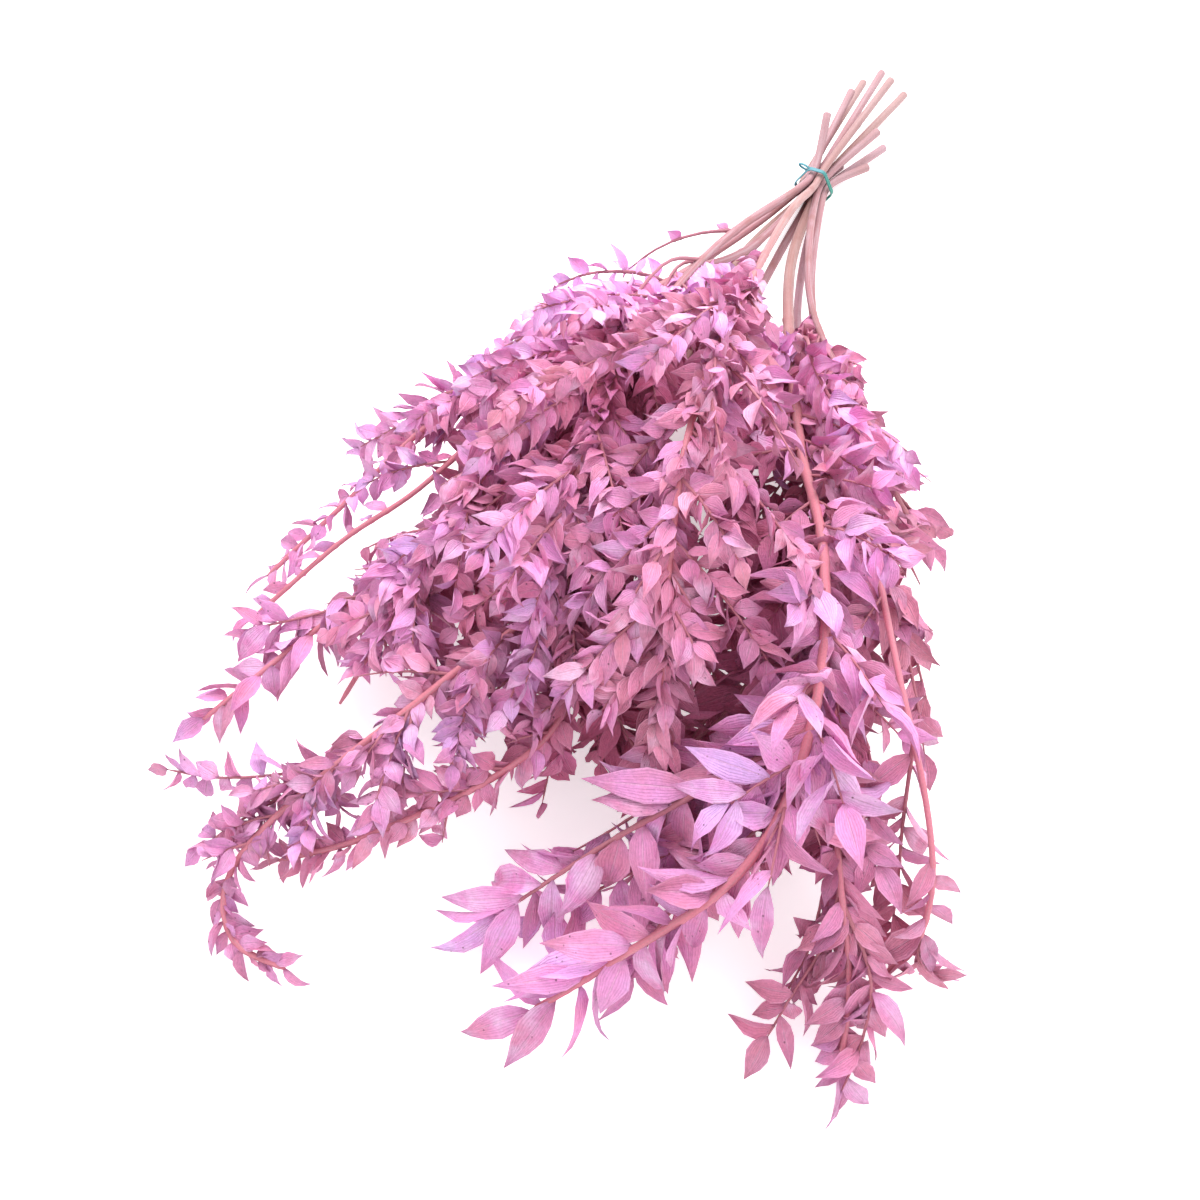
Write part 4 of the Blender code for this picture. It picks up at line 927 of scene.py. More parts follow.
class Shader:
    """One material and its nodes, with the sockets of its surface."""

    def __init__(self, name):
        self.material = bpy.data.materials.new(name)
        self.material.use_nodes = True
        self.tree = self.material.node_tree
        self.surface = self.tree.nodes["Principled BSDF"]

    def node(self, kind, settings, inputs, output=0):
        """Adds a node, sets its settings, feeds its sockets, and returns one of its outputs."""
        made = self.tree.nodes.new(kind)
        for name, value in settings.items():
            if name == "stops":
                self.set_stops(made.color_ramp, value)
            else:
                setattr(made, name, value)
        for name, value in inputs.items():
            self.feed(made.inputs[name], value)
        return Signal(self, made.outputs[output])

    def set_stops(self, ramp, stops):
        while len(ramp.elements) < len(stops):
            ramp.elements.new(0.5)
        for element, (position, colour) in zip(ramp.elements, stops):
            element.position = position
            element.color = (*colour, 1.0)

    def feed(self, socket, value):
        if isinstance(value, Signal):
            self.tree.links.new(value.socket, socket)
        elif hasattr(value, "__len__") and len(value) == 3 and socket.type == "RGBA":
            socket.default_value = (*value, 1.0)
        else:
            socket.default_value = value

    def paint(self, **sockets):
        """Feeds the surface's sockets, named with underscores for spaces."""
        names = {name.lower().replace(" ", "_"): name for name in self.surface.inputs.keys()}
        for name, value in sockets.items():
            self.feed(self.surface.inputs[names[name]], value)

    def mix(self, share, low, high, blend="MIX"):
        """Two colours mixed; the Mix node's colour sockets are numbers 6 and 7, and its result 2."""
        settings = {"data_type": "RGBA", "blend_type": blend}
        return self.node("ShaderNodeMix", settings, {0: share, 6: low, 7: high}, 2)

    def tinted(self, colour, amount):
        """A colour made lighter or darker by an amount."""
        grey = self.node("ShaderNodeCombineColor", {}, {0: amount, 1: amount, 2: amount})
        return self.mix(1.0, colour, grey, "MULTIPLY")

    def place(self):
        return self.node("ShaderNodeTexCoord", {}, {}, "Object")

    def attribute(self, name, output="Fac"):
        return self.node("ShaderNodeAttribute", {"attribute_name": name}, {}, output)

    def split(self, vector):
        """The three numbers of a vector."""
        made = self.node("ShaderNodeSeparateXYZ", {}, {"Vector": vector})
        return [Signal(self, socket) for socket in made.socket.node.outputs]

    def noise(self, vector, scale, detail=2.0, roughness=0.5):
        sockets = {"Vector": vector, "Scale": scale, "Detail": detail, "Roughness": roughness}
        return self.node("ShaderNodeTexNoise", {}, sockets)

    def stretched(self, vector, scale):
        return self.node("ShaderNodeMapping", {}, {"Vector": vector, "Scale": scale})

    def bump(self, height, strength, depth):
        sockets = {"Height": height, "Strength": strength, "Distance": depth}
        self.paint(normal=self.node("ShaderNodeBump", {}, sockets))


def dyed_leaf_finish(colours):
    """Dyed, dried leaf: rose to lilac, with a paler midrib, close veins, mottling and small specks, with
    painted sheen patches, painted shade at each leaf's base and on deep leaves, and painted light towards
    the tie.
    """
    shader = Shader("dyed_leaf")
    place = shader.place()
    lilac, light, seed = shader.split(shader.attribute("leaf_dye", "Vector"))
    under = shader.attribute("leaf_under")
    deep = shader.attribute("leaf_deep")
    across, along, _ = shader.split(shader.node("ShaderNodeUVMap", {"uv_map": "leaf"}, {}))
    cloud = shader.noise(place, 32, 2)
    patch = shader.noise(place, 80, 2, 0.5)
    mottle = shader.noise(place, 520, 4, 0.68)
    off_rib = (across - 0.5).size()
    rib = (1 - off_rib.between(0.010, 0.045)) * (1 - along.between(0.55, 0.98))
    vein = ((across + mottle * 0.02) * 70).sine().between(-0.2, 1.0) * off_rib.between(0.03, 0.10)
    edge = off_rib.between(0.43, 0.5)
    dye = (lilac + (cloud - 0.5) * 0.9 + (patch - 0.5) * 0.4).clamped()
    stops = [(0.0, colours.dusty), (0.38, colours.rose), (0.70, colours.magenta), (1.0, colours.lilac)]
    base = shader.node("ShaderNodeValToRGB", {"stops": stops}, {"Fac": dye})
    # Painted sheen: pale lilac highlight patches, mostly on lilac leaves and those with a high seed, none
    # on deep leaves
    bloom = patch.between(0.38, 0.70) * (seed + lilac * 0.35).between(0.42, 1.05)
    base = shader.mix(bloom * 0.66, base, colours.bloom)
    base = shader.mix(under * 0.30, base, colours.underside)
    base = shader.mix(rib * 0.42, base, colours.vein)
    base = shader.mix(vein * 0.15, base, colours.shade)
    base = shader.mix(edge * 0.22, base, colours.vein)
    # Darker towards the dry tip on some leaves, and painted shade at every leaf's base, where it meets
    # its limb
    tip = along.between(0.82, 1.0) * (0.05 + 0.35 * seed) + (1 - along.between(0.0, 0.14)) * 0.35
    base = shader.mix(tip, base, colours.shade)
    # Painted shade: leaves deep in the foliage are mixed towards the dark depth colour
    base = shader.mix(deep.between(0.0, 1.0) * 0.6, base, colours.depth)
    # Lighter or darker by each leaf's lightness, which holds painted shade for deep leaves and painted
    # light towards the tie, and by the mottling
    base = shader.tinted(base, 0.54 + 0.32 * light + 0.62 * mottle)
    cells = shader.node("ShaderNodeTexVoronoi", {}, {"Vector": place, "Scale": 210.0})
    speck = (1 - cells.between(0.07, 0.14)) * shader.noise(place, 60, 1).between(0.48, 0.60)
    base = shader.mix(speck * 0.8, base, colours.speck)
    shader.paint(
        base_color=base, roughness=0.42 + 0.24 * mottle, specular_ior_level=0.32,
        sheen_weight=0.05, sheen_roughness=0.4, sheen_tint=(0.9, 0.75, 1.0),
    )
    shader.bump(mottle * 0.8 - vein * 0.3 - rib * 0.7, 1.0, 0.0007)
    return shader.material


def dyed_bark_finish(colours):
    """Dyed cane bark: salmon pink, streaked along the cane, paler at its cut end, darker on shoots."""
    shader = Shader("dyed_bark")
    place = shader.place()
    bark = shader.attribute("bark", "Vector")
    shoot = shader.attribute("shoot")
    hue = shader.attribute("hue")
    _, _, along = shader.split(bark)
    streaks = shader.noise(shader.stretched(bark, (1.0, 1.0, 0.09)), 2.4, 4, 0.62)
    cloud = shader.noise(place, 38, 2)
    grain = shader.noise(place, 900, 2)
    wood = shader.mix(streaks.between(0.38, 0.68), colours.twig, colours.twig_pale)
    wood = shader.mix(hue.between(0.55, 0.80) * 0.55, wood, colours.twig_tan)
    wood = shader.mix((1 - hue.between(0.15, 0.40)) * 0.45, wood, colours.twig_cool)
    wood = shader.mix(cloud.between(0.48, 0.72) * 0.6, wood, colours.twig_dark)
    far = shader.mix(streaks.between(0.44, 0.66) * 0.4, colours.twig_far, colours.twig_pale)
    wood = shader.mix(along.between(26.0, 56.0) * 0.85, wood, far)
    wood = shader.mix(shoot * 0.75, wood, shader.mix(streaks, colours.shoot, colours.twig))
    cut_side = (1 - along.between(0.0, 16.0)) * (1 - shoot)
    wood = shader.mix(cut_side * 0.35, wood, colours.cut)
    wood = shader.tinted(wood, 0.74 + 0.36 * grain)
    shader.paint(base_color=wood, roughness=0.5 + 0.2 * grain, specular_ior_level=0.35)
    shader.bump(streaks * 0.7 + grain * 0.3, 0.6, 0.0005)
    return shader.material


def cut_wood_finish(colours):
    """The cut ends: pale, slightly fibrous wood."""
    shader = Shader("cut_wood")
    fibre = shader.noise(shader.place(), 1400, 3, 0.7)
    shader.paint(base_color=shader.mix(fibre, colours.cut, colours.twig_pale), roughness=0.8)
    shader.bump(fibre, 0.6, 0.0004)
    return shader.material


def rubber_finish(colours):
    """Thin stretched rubber: teal, with painted light on the left and painted shade towards the right."""
    shader = Shader("teal_rubber")
    place = shader.place()
    cloud = shader.noise(place, 90, 2)
    grain = shader.noise(place, 1500, 2)
    sideways, _, _ = shader.split(place)
    # Painted light and shade: lighter teal on the left side, darker towards the right
    thin = 1 - (sideways + (cloud - 0.5) * 0.012).between(-0.034, -0.020)
    rubber = shader.mix(thin, colours.band_dark, colours.band)
    shader.paint(base_color=rubber, roughness=0.36 + 0.16 * grain, specular_ior_level=0.5)
    shader.bump(grain, 0.25, 0.0002)
    return shader.material


def floor_finish(stage):
    """A matt pale floor with a very slight unevenness."""
    shader = Shader("pale_floor")
    cloud = shader.noise(shader.place(), 3, 2)
    shader.paint(
        base_color=shader.tinted(stage.floor, 0.98 + 0.04 * cloud), roughness=0.9, specular_ior_level=0.1,
        emission_color=stage.floor, emission_strength=stage.glow,
    )
    return shader.material


# Bark

def limb_matrix(limb, distance, radius):
    """Places a unit circle round a limb, with its Z along the limb."""
    position, ahead, normal = limb.at(distance)
    turned = Matrix((ahead.cross(normal), normal, ahead)).transposed().to_4x4()
    turned.translation = position
    return turned @ Matrix.Diagonal((radius, radius, radius, 1.0))


def bark_stations(limb, step, sites):
    """Distances along a limb for its rings: even steps, and three rings at each site."""
    count = max(2, round(limb.length / step))
    wanted = [limb.length * index / count for index in range(1, count)]
    for site in sites:
        wanted += [site - SITE_RINGS, site, site + SITE_RINGS]
    stations = [FIRST_GAP]
    for distance in sorted(wanted):
        if stations[-1] + LEAST_GAP < distance < limb.length - LAST_GAP:
            stations.append(distance)
    return stations + [limb.length]


def swelling(distance, sites):
    """How much a limb swells near its sites, where shoots and leaves leave it."""
    swell = 0.0
    for site in sites:
        swell = max(swell, math.exp(-((distance - site) / SITE_WIDTH) ** 2))
    return swell


def grow_bark(mesh, limb, sides, step, swell):
    """A limb's tube, extruded ring by ring from its start; returns the face at its start."""
    around = mesh.verts.layers.float_vector["bark"]
    thin = mesh.verts.layers.float["shoot"]
    hue = mesh.verts.layers.float["hue"]
    sites = [shoot.leaves_at for shoot in limb.shoots] + [distance for distance, _ in limb.leaves[:-1]]
    placed = limb_matrix(limb, 0.0, FIRST_RING * limb.radius)
    circle = bmesh.ops.create_circle(mesh, cap_ends=True, segments=sides, radius=1.0, matrix=placed)
    start = circle["verts"][0].link_faces[0]
    edges = list(start.edges)
    for index, vert in enumerate(start.verts):
        angle = 2 * math.pi * index / sides
        vert[around] = (math.cos(angle), math.sin(angle), 0.0)
    for distance in bark_stations(limb, step, sites):
        radius = limb.radius_at(distance) * (1 + swell * swelling(distance, sites))
        if distance == limb.length:
            radius *= LAST_RING
        target = limb_matrix(limb, distance, radius)
        grown = bmesh.ops.extrude_edge_only(mesh, edges=edges)["geom"]
        verts = [item for item in grown if isinstance(item, bmesh.types.BMVert)]
        edges = [item for item in grown if isinstance(item, bmesh.types.BMEdge)]
        bmesh.ops.transform(mesh, matrix=target @ placed.inverted(), verts=verts)
        for vert in verts:
            vert[around] = (vert[around].x, vert[around].y, (limb.leaves_at + distance) / CM)
        placed = target
    bmesh.ops.contextual_create(mesh, geom=edges)
    for vert in mesh.verts:
        vert[thin] = 0.0 if limb.radius > WOODY_FROM else 1.0
        vert[hue] = limb.hue
    return start


def make_bark(cane, materials):
    """One stem's bark piece: the cane with a pale cut face, and all its shoots."""
    mesh = bark_mesh()
    cut = grow_bark(mesh, cane, *CANE_TUBE)
    pith = bmesh.ops.inset_individual(mesh, faces=[cut], thickness=PITH_INSET, depth=-PITH_DEPTH)
    for face in pith["faces"] + [cut]:
        face.material_index = 1
    for shoot in cane.shoots:
        part = bark_mesh()
        grow_bark(part, shoot, *SHOOT_TUBE)
        append(mesh, part)
    finish_piece(cane.name + "_bark", mesh, materials, cane.name)


def bark_mesh():
    """An empty mesh for bark: its points' place on their limb, whether that's thin, and its hue."""
    mesh = bmesh.new()
    mesh.verts.layers.float_vector.new("bark")
    mesh.verts.layers.float.new("shoot")
    mesh.verts.layers.float.new("hue")
    return mesh


def append(mesh, part):
    """Adds a part, grown in a mesh of its own because that is quicker, to a larger mesh."""
    held = bpy.data.meshes.new("held")
    part.to_mesh(held)
    part.free()
    mesh.from_mesh(held)
    bpy.data.meshes.remove(held)


# Leaves

def leaf_outline(along):
    """A leaf's half-width as a share of its greatest: a round base and a drawn-out tip."""
    if along < WIDEST_AT:
        return 0.07 + 0.93 * math.sin(along / WIDEST_AT * math.pi / 2) ** 0.9
    past = (along - WIDEST_AT) / (1 - WIDEST_AT)
    return (1 - past) ** 1.4 * (1 + 1.25 * past)


def leaf_mesh():
    """An empty mesh for leaves: their texture's place, and each point's side, dye with painted light and
    shade, and depth.
    """
    mesh = bmesh.new()
    mesh.loops.layers.uv.new("leaf")
    mesh.verts.layers.float.new("leaf_under")
    mesh.verts.layers.float_vector.new("leaf_dye")
    mesh.verts.layers.float.new("leaf_deep")
    return mesh


def make_leaf_pattern():
    """The leaf that all copy: X is a share of its half-width, Y of its length, Z of its thickness."""
    mesh = leaf_mesh()
    sheet = mesh.loops.layers.uv["leaf"]
    under = mesh.verts.layers.float["leaf_under"]
    columns = len(LEAF_COLUMNS)
    rows = len(LEAF_ROWS)
    for side in (1, -1):
        grid = bmesh.ops.create_grid(mesh, x_segments=columns - 1, y_segments=rows - 1, size=1.0)["verts"]
        faces = {face for vert in grid for face in vert.link_faces}
        for vert in grid:
            column = round((vert.co.x + 1) / 2 * (columns - 1))
            row = round((vert.co.y + 1) / 2 * (rows - 1))
            across = LEAF_COLUMNS[column]
            vert.co = (across, LEAF_ROWS[row], side * (1 - across * across))
            vert[under] = 0.5 if abs(across) == 1 else (0.0 if side == 1 else 1.0)
        for face in faces:
            for loop in face.loops:
                loop[sheet].uv = (loop.vert.co.x / 2 + 0.5, loop.vert.co.y)
        if side == -1:
            bmesh.ops.reverse_faces(mesh, faces=list(faces))
    tip = [vert for vert in mesh.verts if vert.co.y == 1.0]
    bmesh.ops.pointmerge(mesh, verts=tip, merge_co=(0.0, 1.0, 0.0))
    bmesh.ops.remove_doubles(mesh, verts=mesh.verts[:], dist=1e-4)
    for face in mesh.faces:
        face.smooth = True
    for edge in mesh.edges:
        edge.smooth = not all(abs(vert.co.x) == 1.0 or vert.co.y in (0.0, 1.0) for vert in edge.verts)
    pattern = bpy.data.meshes.new("leaf_pattern")
    mesh.to_mesh(pattern)
    mesh.free()
    return pattern


def leaf_shape(limb, key, leaf, sizes):
    """How one leaf folds, curls, arches, bends and twists, and its dye, which holds painted shade and
    painted light.
    """
    rng = draw(limb.name, "shape", key)
    # Painted light: leaves of lilac stems towards the tie are made lighter, more lilac and given more
    # painted sheen
    painted_tie_light = ramp(leaf["start"].y, PAINTED_TIE_LIGHT_FROM, PAINTED_TIE_LIGHT_FULL) * ramp(limb.lilac, *PAINTED_TIE_LIGHT_LILAC)
    return {
        # The dye's lilac, lightness and seed for sheen and dry tips: deep leaves get painted shade, less
        # lilac, darker and with no painted sheen
        "dye": (
            limb.lilac + rng.gauss(0, 0.12) - 0.3 * leaf["deep"] + 0.12 * painted_tie_light,
            rng.uniform(0.15, 1) + limb.light - 0.35 * leaf["deep"] + 0.8 * painted_tie_light,
            rng.uniform(0, 1) * (1 - leaf["deep"]) + 0.45 * painted_tie_light,
        ),
        "deep": leaf["deep"],
        "fold": sizes.leaf_fold * rng.uniform(0.4, 2.4),
        "curl": rng.gauss(-0.05, 0.28),
        "arch": LEAF_ARCH * rng.uniform(0.2, 2.2),
        "hook": rng.uniform(-0.05, 0.28),
        "bend": rng.uniform(-0.10, 0.10),
        "twist": rng.gauss(0, 0.55),
        "wave": rng.uniform(0.03, 0.14),
        "phase": rng.uniform(0, 2 * math.pi),
    }


def place_on_leaf(leaf, shape, share, along, layer):
    """The place of a point of the pattern on one leaf."""
    half = leaf["width"] / 2
    length = leaf["length"]
    across = half * leaf_outline(along) * share
    up = shape["fold"] * math.sqrt(across * across + FOLD_ROUND ** 2)
    up += shape["curl"] * half * share ** 4 * math.sin(math.pi * along)
    up += shape["wave"] * half * share * share * math.sin(8.2 * along + shape["phase"] + share)
    up += layer * (BLADE_HALF + BASE_EXTRA * (1 - along) ** 6)
    turn = shape["twist"] * along
    sideways = across * math.cos(turn) - up * math.sin(turn) + shape["bend"] * length * along * along
    up = across * math.sin(turn) + up * math.cos(turn)
    up -= length * (shape["arch"] * along * along + shape["hook"] * 4 * max(0.0, along - 0.65) ** 2)
    reach = length * along - ROOT_DEPTH
    place = leaf["start"] + leaf["ahead"] * reach + leaf["across"] * sideways + leaf["facing"] * up
    place.z = max(place.z, LEAST_HEIGHT)
    return place


def make_leaves(cane, pattern, materials, sizes):
    """One stem's leaves piece: every leaf of the cane and of its shoots."""
    mesh = leaf_mesh()
    laid = []
    for limb in [cane] + cane.shoots:
        for index, (_, leaf) in enumerate(limb.leaves):
            laid.append((leaf, leaf_shape(limb, index, leaf, sizes)))
            mesh.from_mesh(pattern)
    dyed = mesh.verts.layers.float_vector["leaf_dye"]
    deep = mesh.verts.layers.float["leaf_deep"]
    count = len(pattern.vertices)
    for index, vert in enumerate(mesh.verts):
        leaf, shape = laid[index // count]
        vert.co = place_on_leaf(leaf, shape, *vert.co)
        # Each point's dye with painted light and shade, and its depth for painted shade
        vert[dyed] = shape["dye"]
        vert[deep] = shape["deep"]
    finish_piece(cane.name + "_leaves", mesh, materials, cane.name)


# Band

def band_outline(offset):
    """Points round the canes at an offset, as a stretched band runs round them."""
    canes = [place_in_band(spec["place"]) for spec in STEMS.values()]
    supports = []
    for index in range(BAND_POINTS):
        angle = 2 * math.pi * index / BAND_POINTS
        out = Vector((math.cos(angle), 0, math.sin(angle)))
        supports.append(max(cane.dot(out) for cane in canes) + CANE_RADIUS + offset)
    points = []
    turn = 2 * math.pi / BAND_POINTS
    for index in range(BAND_POINTS):
        here = supports[index]
        after = supports[(index + 1) % BAND_POINTS]
        angle = turn * index
        along = (after - here * math.cos(turn)) / math.sin(turn)
        points.append(Vector((
            here * math.cos(angle) - along * math.sin(angle), 0,
            here * math.sin(angle) + along * math.cos(angle),
        )))
    return points


def lay_rubber(mesh, line, middle, strip):
    """A rounded strip of rubber along a closed line, which goes round a middle."""
    rings = []
    for index, point in enumerate(line):
        ahead = line[(index + 1) % len(line)] - line[index - 1]
        ahead.y = 0.0
        ahead.normalize()
        out = Vector((0, 1, 0)).cross(ahead)
        if out.dot(point - middle) < 0:
            out.negate()
        placed = Matrix((Vector((0, 1, 0)) * strip / 2, out * RUBBER_HALF, ahead)).transposed().to_4x4()
        placed.translation = point
        circle = bmesh.ops.create_circle(mesh, cap_ends=False, segments=10, radius=1.0, matrix=placed)
        rings.append(circle["verts"])
    for ring, after in zip(rings, rings[1:] + rings[:1]):
        edges = {edge for vert in ring + after for edge in vert.link_edges}
        own = [edge for edge in edges if len(edge.link_faces) < 2]
        pair = [edge for edge in own if all(vert in ring for vert in edge.verts)]
        pair += [edge for edge in own if all(vert in after for vert in edge.verts)]
        bmesh.ops.bridge_loops(mesh, edges=pair)


def make_band(sizes, materials):
    """The rubber band: two turns side by side, and a slack loop at the left."""
    mesh = bmesh.new()
    outline = band_outline(BAND_OFFSET)
    for side in (-1, 1):
        line = []
        for index, point in enumerate(outline):
            angle = 2 * math.pi * index / BAND_POINTS
            lane = side * (TURN_OFFSET + TURN_DRIFT * math.cos(2 * angle + DRIFT_FROM))
            line.append(TIE_AT + point + Vector((0, lane, 0)))
        lay_rubber(mesh, line, TIE_AT, sizes.band_strip)
    middle = TIE_AT + outline[SLACK_FROM] + SLACK_WAY * (SLACK_LENGTH / 2 - SLACK_OVERLAP)
    rise = SLACK_WAY.cross(Vector((0, 1, 0)))
    line = []
    for index in range(SLACK_POINTS):
        angle = 2 * math.pi * index / SLACK_POINTS
        along = SLACK_WAY * math.cos(angle) * SLACK_LENGTH / 2
        line.append(middle + along + rise * math.sin(angle) * SLACK_HEIGHT / 2)
    lay_rubber(mesh, line, middle, sizes.band_strip)
    finish_piece("tie_band_rubber", mesh, materials, "tie_band")


def finish_piece(name, mesh, materials, node):
    """Turns a mesh into a smooth piece that replaces a solid and rides on the bunch's one body."""
    if not name.endswith("_leaves"):
        bmesh.ops.recalc_face_normals(mesh, faces=mesh.faces[:])
        for face in mesh.faces:
            face.smooth = face.material_index == 0
    piece = add_mesh(name, mesh, materials)
    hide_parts(node)
    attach(piece, "root")


def add_mesh(name, mesh, materials):
    """Adds a mesh with its materials as an object."""
    data = bpy.data.meshes.new(name)
    mesh.to_mesh(data)
    mesh.free()
    for material in materials:
        data.materials.append(material)
    return add_object(name, data)


def add_object(name, data):
    """Adds an object to the scene's own collection."""
    added = bpy.data.objects.new(name, data)
    bpy.context.scene.collection.objects.link(added)
    return added


# The add-on

def length_property(name, description, default, low, high):
    """A length that the panel shows."""
    return FloatProperty(
        name=name, description=description, default=default, min=low, max=high,
        unit="LENGTH", precision=4,
    )


class RuscusSizes(PropertyGroup):
    """Sizes of the leaves and the band."""

    leaf_length: length_property("Leaf length", "Length of a full-size leaf", LEAF_LENGTH, 0.01, 0.06)
    leaf_width: length_property("Leaf width", "Width of a full-size leaf", LEAF_WIDTH, 0.004, 0.03)
    leaf_fold: FloatProperty(
        name="Leaf fold", description="How far a leaf's halves rise from its midrib, as a share of width",
        default=LEAF_FOLD, min=0.0, max=1.0,
    )
    shoot_gap: length_property("Shoot gap", "Between shoots that thicken a stem", SHOOT_GAP, 0.008, 0.1)
    band_strip: length_property("Band strip", "Width of one turn of the band", BAND_STRIP, 0.0005, 0.006)


def colour_property(name, description, default):
    """A colour that the panel shows."""
    return FloatVectorProperty(
        name=name, description=description, default=default, subtype="COLOR", size=3, min=0.0, max=1.0,
    )


class RuscusColours(PropertyGroup):
    """Colours of the dye, the bark, the cut ends and the band."""

    dusty: colour_property("Dusty rose", "The least lilac leaves", (0.73, 0.27, 0.37))
    rose: colour_property("Rose", "Most leaves", (0.75, 0.27, 0.45))
    magenta: colour_property("Magenta pink", "Leaves on the left side", (0.80, 0.33, 0.66))
    lilac: colour_property("Lilac", "The most lilac leaves", (0.77, 0.46, 0.87))
    # Painted sheen: the pale lilac of the highlight patches on some leaves
    bloom: colour_property("Bloom", "Pale lilac patches on some leaves", (0.88, 0.62, 0.83))
    underside: colour_property("Underside", "The paler back of a leaf", (0.78, 0.40, 0.60))
    vein: colour_property("Vein", "Midrib and leaf edge", (0.88, 0.50, 0.70))
    # Also the painted shade at each leaf's base
    shade: colour_property("Shade", "Furrows between the veins and dry tips", (0.44, 0.12, 0.24))
    # Painted shade: the colour that leaves deep in the foliage are darkened towards
    depth: colour_property("Depth", "Leaves deep in the foliage", (0.52, 0.075, 0.20))
    speck: colour_property("Speck", "Small dark specks", (0.16, 0.05, 0.09))
    twig: colour_property("Bark", "Dyed bark", (0.39, 0.17, 0.19))
    twig_pale: colour_property("Pale bark", "Pale streaks in the bark", (0.46, 0.3, 0.33))
    twig_tan: colour_property("Tan bark", "Canes that took less dye", (0.40, 0.25, 0.195))
    twig_cool: colour_property("Cool bark", "Canes that took lilac dye", (0.52, 0.34, 0.42))
    twig_far: colour_property("Far bark", "Bark of the canes' leafy parts", (0.74, 0.22, 0.30))
    twig_dark: colour_property("Dark bark", "Darker patches of the bark", (0.33, 0.14, 0.13))
    shoot: colour_property("Shoot", "Bark of the thin shoots", (0.46, 0.13, 0.20))
    cut: colour_property("Cut end", "Pale wood of the cut ends", (0.47, 0.36, 0.37))
    # The band's two colours are painted light on its left side and painted shade on its right
    band: colour_property("Band", "Rubber where it is stretched thin", (0.08, 0.27, 0.32))
    band_dark: colour_property("Band shade", "Rubber where it is thicker", (0.02, 0.21, 0.16))


class RuscusStage(PropertyGroup):
    """The floor, the lights and the camera."""

    floor: colour_property("Floor", "Colour of the floor", (0.95, 0.95, 0.95))
    glow: FloatProperty(
        name="Floor glow", description="Light that softens the shadows", default=0.5, min=0.0,
    )
    sky: FloatProperty(
        name="Sky light", description="Even light from all round", default=1.02, min=0.0,
    )
    key: FloatProperty(
        name="Key light", description="Power of the large light at the upper left", default=22.0,
        min=0.0, unit="POWER",
    )
    fill: FloatProperty(
        name="Fill light", description="Power of the light on the right", default=4.0,
        min=0.0, unit="POWER",
    )
    azimuth: FloatProperty(
        name="Camera azimuth", description="Turn of the camera round the bunch", default=AZIMUTH,
        subtype="ANGLE",
    )
    elevation: FloatProperty(
        name="Camera elevation", description="Height of the camera above the horizon",
        default=ELEVATION, subtype="ANGLE",
    )
    distance: FloatProperty(
        name="Camera distance", description="From the camera to its target", default=DISTANCE,
        min=0.1, unit="LENGTH",
    )


class RUSCUS_OT_stems(Operator):
    """Grow the twelve leafy stems"""

    bl_idname = "ruscus.stems"
    bl_label = "Grow Stems"

    def execute(self, context):
        sizes = context.scene.ruscus_sizes
        colours = context.scene.ruscus_colours
        leaf = [dyed_leaf_finish(colours)]
        bark = [dyed_bark_finish(colours), cut_wood_finish(colours)]
        pattern = make_leaf_pattern()
        canes = [grow_stem(name, spec, sizes) for name, spec in STEMS.items()]
        mark_deep_leaves(canes)
        for cane in canes:
            make_bark(cane, bark)
            make_leaves(cane, pattern, leaf, sizes)
        bpy.data.meshes.remove(pattern)
        return {"FINISHED"}


class RUSCUS_OT_band(Operator):
    """Stretch the rubber band round the canes"""

    bl_idname = "ruscus.band"
    bl_label = "Add Band"

    def execute(self, context):
        make_band(context.scene.ruscus_sizes, [rubber_finish(context.scene.ruscus_colours)])
        return {"FINISHED"}


class RUSCUS_OT_stage(Operator):
    """Lay the floor, and place the lights and the camera"""

    bl_idname = "ruscus.stage"
    bl_label = "Set Stage"

    def execute(self, context):
        stage = context.scene.ruscus_stage
        lay_floor(stage)
        light_stage(context.scene, stage)
        place_camera(context.scene, stage)
        return {"FINISHED"}


def lay_floor(stage):
    """A wide floor at the height of the surface."""
    mesh = bmesh.new()
    bmesh.ops.create_grid(mesh, x_segments=1, y_segments=1, size=FLOOR_HALF)
    add_mesh("floor", mesh, [floor_finish(stage)])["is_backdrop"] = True


def light_stage(scene, stage):
    """An even pale sky, a large soft key light at the upper left, and a weak light at the right."""
    world = bpy.data.worlds.new("pale_sky")
    world.use_nodes = True
    background = world.node_tree.nodes["Background"]
    background.inputs["Color"].default_value = SKY_COLOUR
    background.inputs["Strength"].default_value = stage.sky
    scene.world = world
    scene.view_settings.view_transform = "Standard"
    add_light("key_light", stage.key, *KEY_LIGHT)
    add_light("fill_light", stage.fill, *FILL_LIGHT)


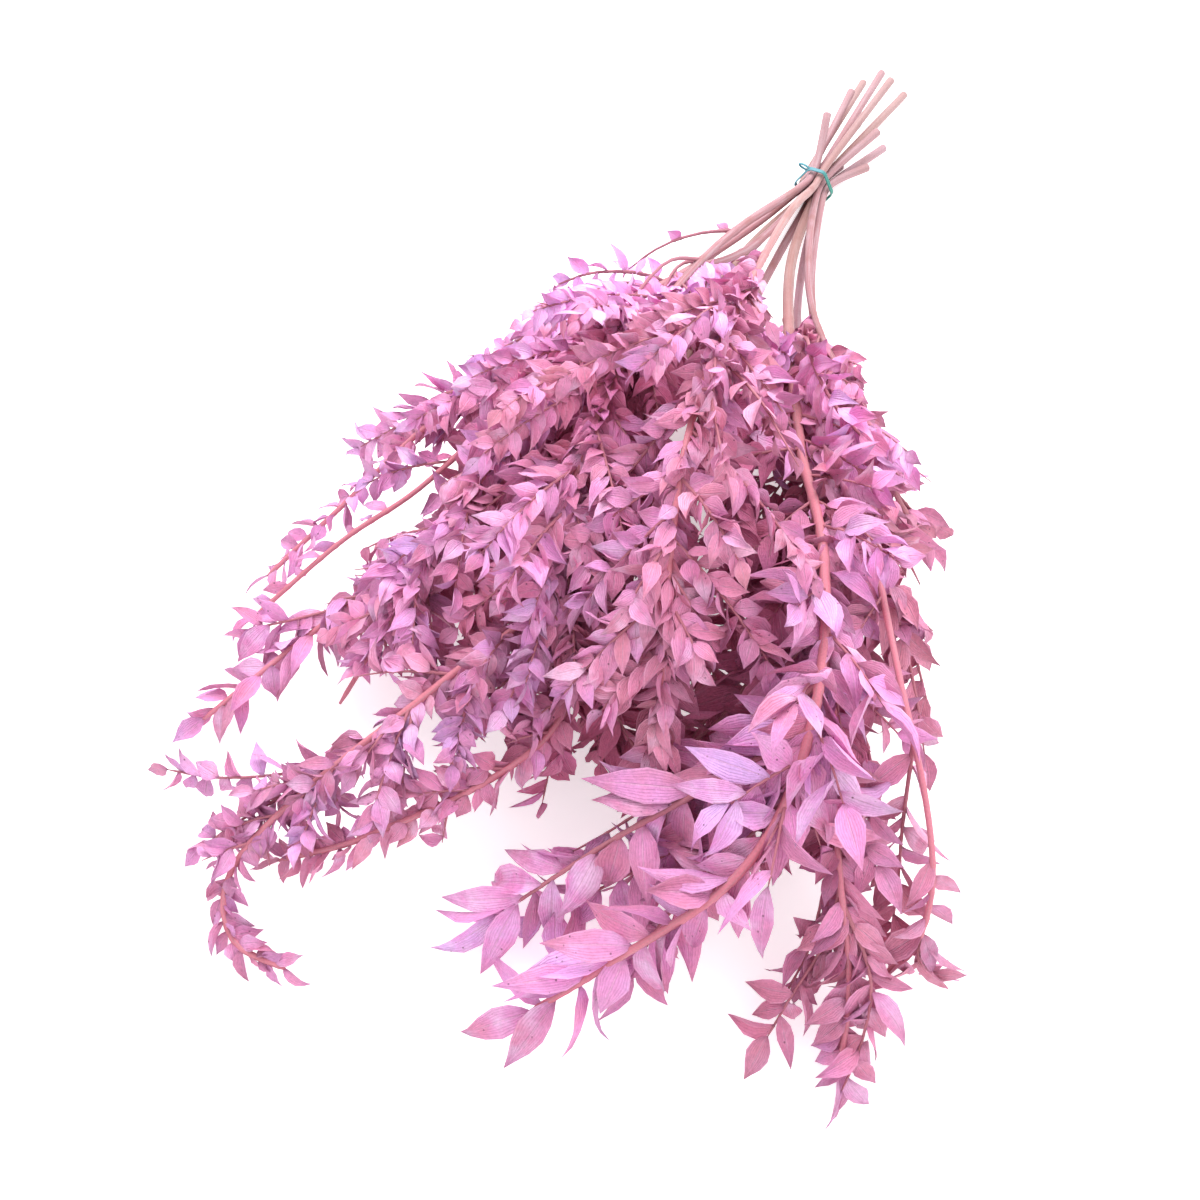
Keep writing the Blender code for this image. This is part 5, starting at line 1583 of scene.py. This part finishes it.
def add_light(name, power, place, size, colour):
    """A square light that faces the bunch."""
    lamp = bpy.data.lights.new(name, "AREA")
    lamp.size = size
    lamp.energy = power
    lamp.color = colour
    light = add_object(name, lamp)
    light.location = place
    light.rotation_euler = (-Vector(place)).to_track_quat("-Z", "Y").to_euler()


def place_camera(scene, stage):
    """A camera that looks down on the bunch from beyond its tips, a little to the right."""
    camera = add_object("camera", bpy.data.cameras.new("camera"))
    camera.data.lens = LENS
    camera.data.sensor_width = SENSOR
    camera.data.clip_start = 0.01
    back = camera_side(stage.azimuth, stage.elevation)
    camera.location = TARGET + back * stage.distance
    camera.rotation_euler = (-back).to_track_quat("-Z", "Y").to_euler()
    scene.camera = camera


class RUSCUS_PT_panel(Panel):
    """Sizes, colours and steps of the bunch"""

    bl_idname = "RUSCUS_PT_panel"
    bl_label = "Ruscus Bunch"
    bl_space_type = "VIEW_3D"
    bl_region_type = "UI"
    bl_category = "Ruscus"

    def draw(self, context):
        layout = self.layout
        scene = context.scene
        for settings in (scene.ruscus_sizes, scene.ruscus_colours, scene.ruscus_stage):
            box = layout.box()
            for name in settings.__annotations__:
                box.prop(settings, name)
        for step in STEPS:
            layout.operator(step.bl_idname)


STEPS = (RUSCUS_OT_stems, RUSCUS_OT_band, RUSCUS_OT_stage)
GROUPS = {"ruscus_sizes": RuscusSizes, "ruscus_colours": RuscusColours, "ruscus_stage": RuscusStage}


def register():
    """Registers the groups of settings, the steps and the panel."""
    for group in (*GROUPS.values(), *STEPS, RUSCUS_PT_panel):
        bpy.utils.register_class(group)
    for name, group in GROUPS.items():
        setattr(bpy.types.Scene, name, PointerProperty(type=group))


def unregister():
    """Takes back what register did, in reverse."""
    for name in GROUPS:
        delattr(bpy.types.Scene, name)
    for group in (RUSCUS_PT_panel, *reversed(STEPS), *reversed(GROUPS.values())):
        bpy.utils.unregister_class(group)


def main():
    """Runs the add-on's steps in order."""
    register()
    bpy.ops.ruscus.stems()
    bpy.ops.ruscus.band()
    bpy.ops.ruscus.stage()
    boxes = {"solid": SOLID_BOX, "visual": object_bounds()}
    plain = {name: [list(corner) for corner in box] for name, box in boxes.items()}


if __name__ == "__main__":
    main()
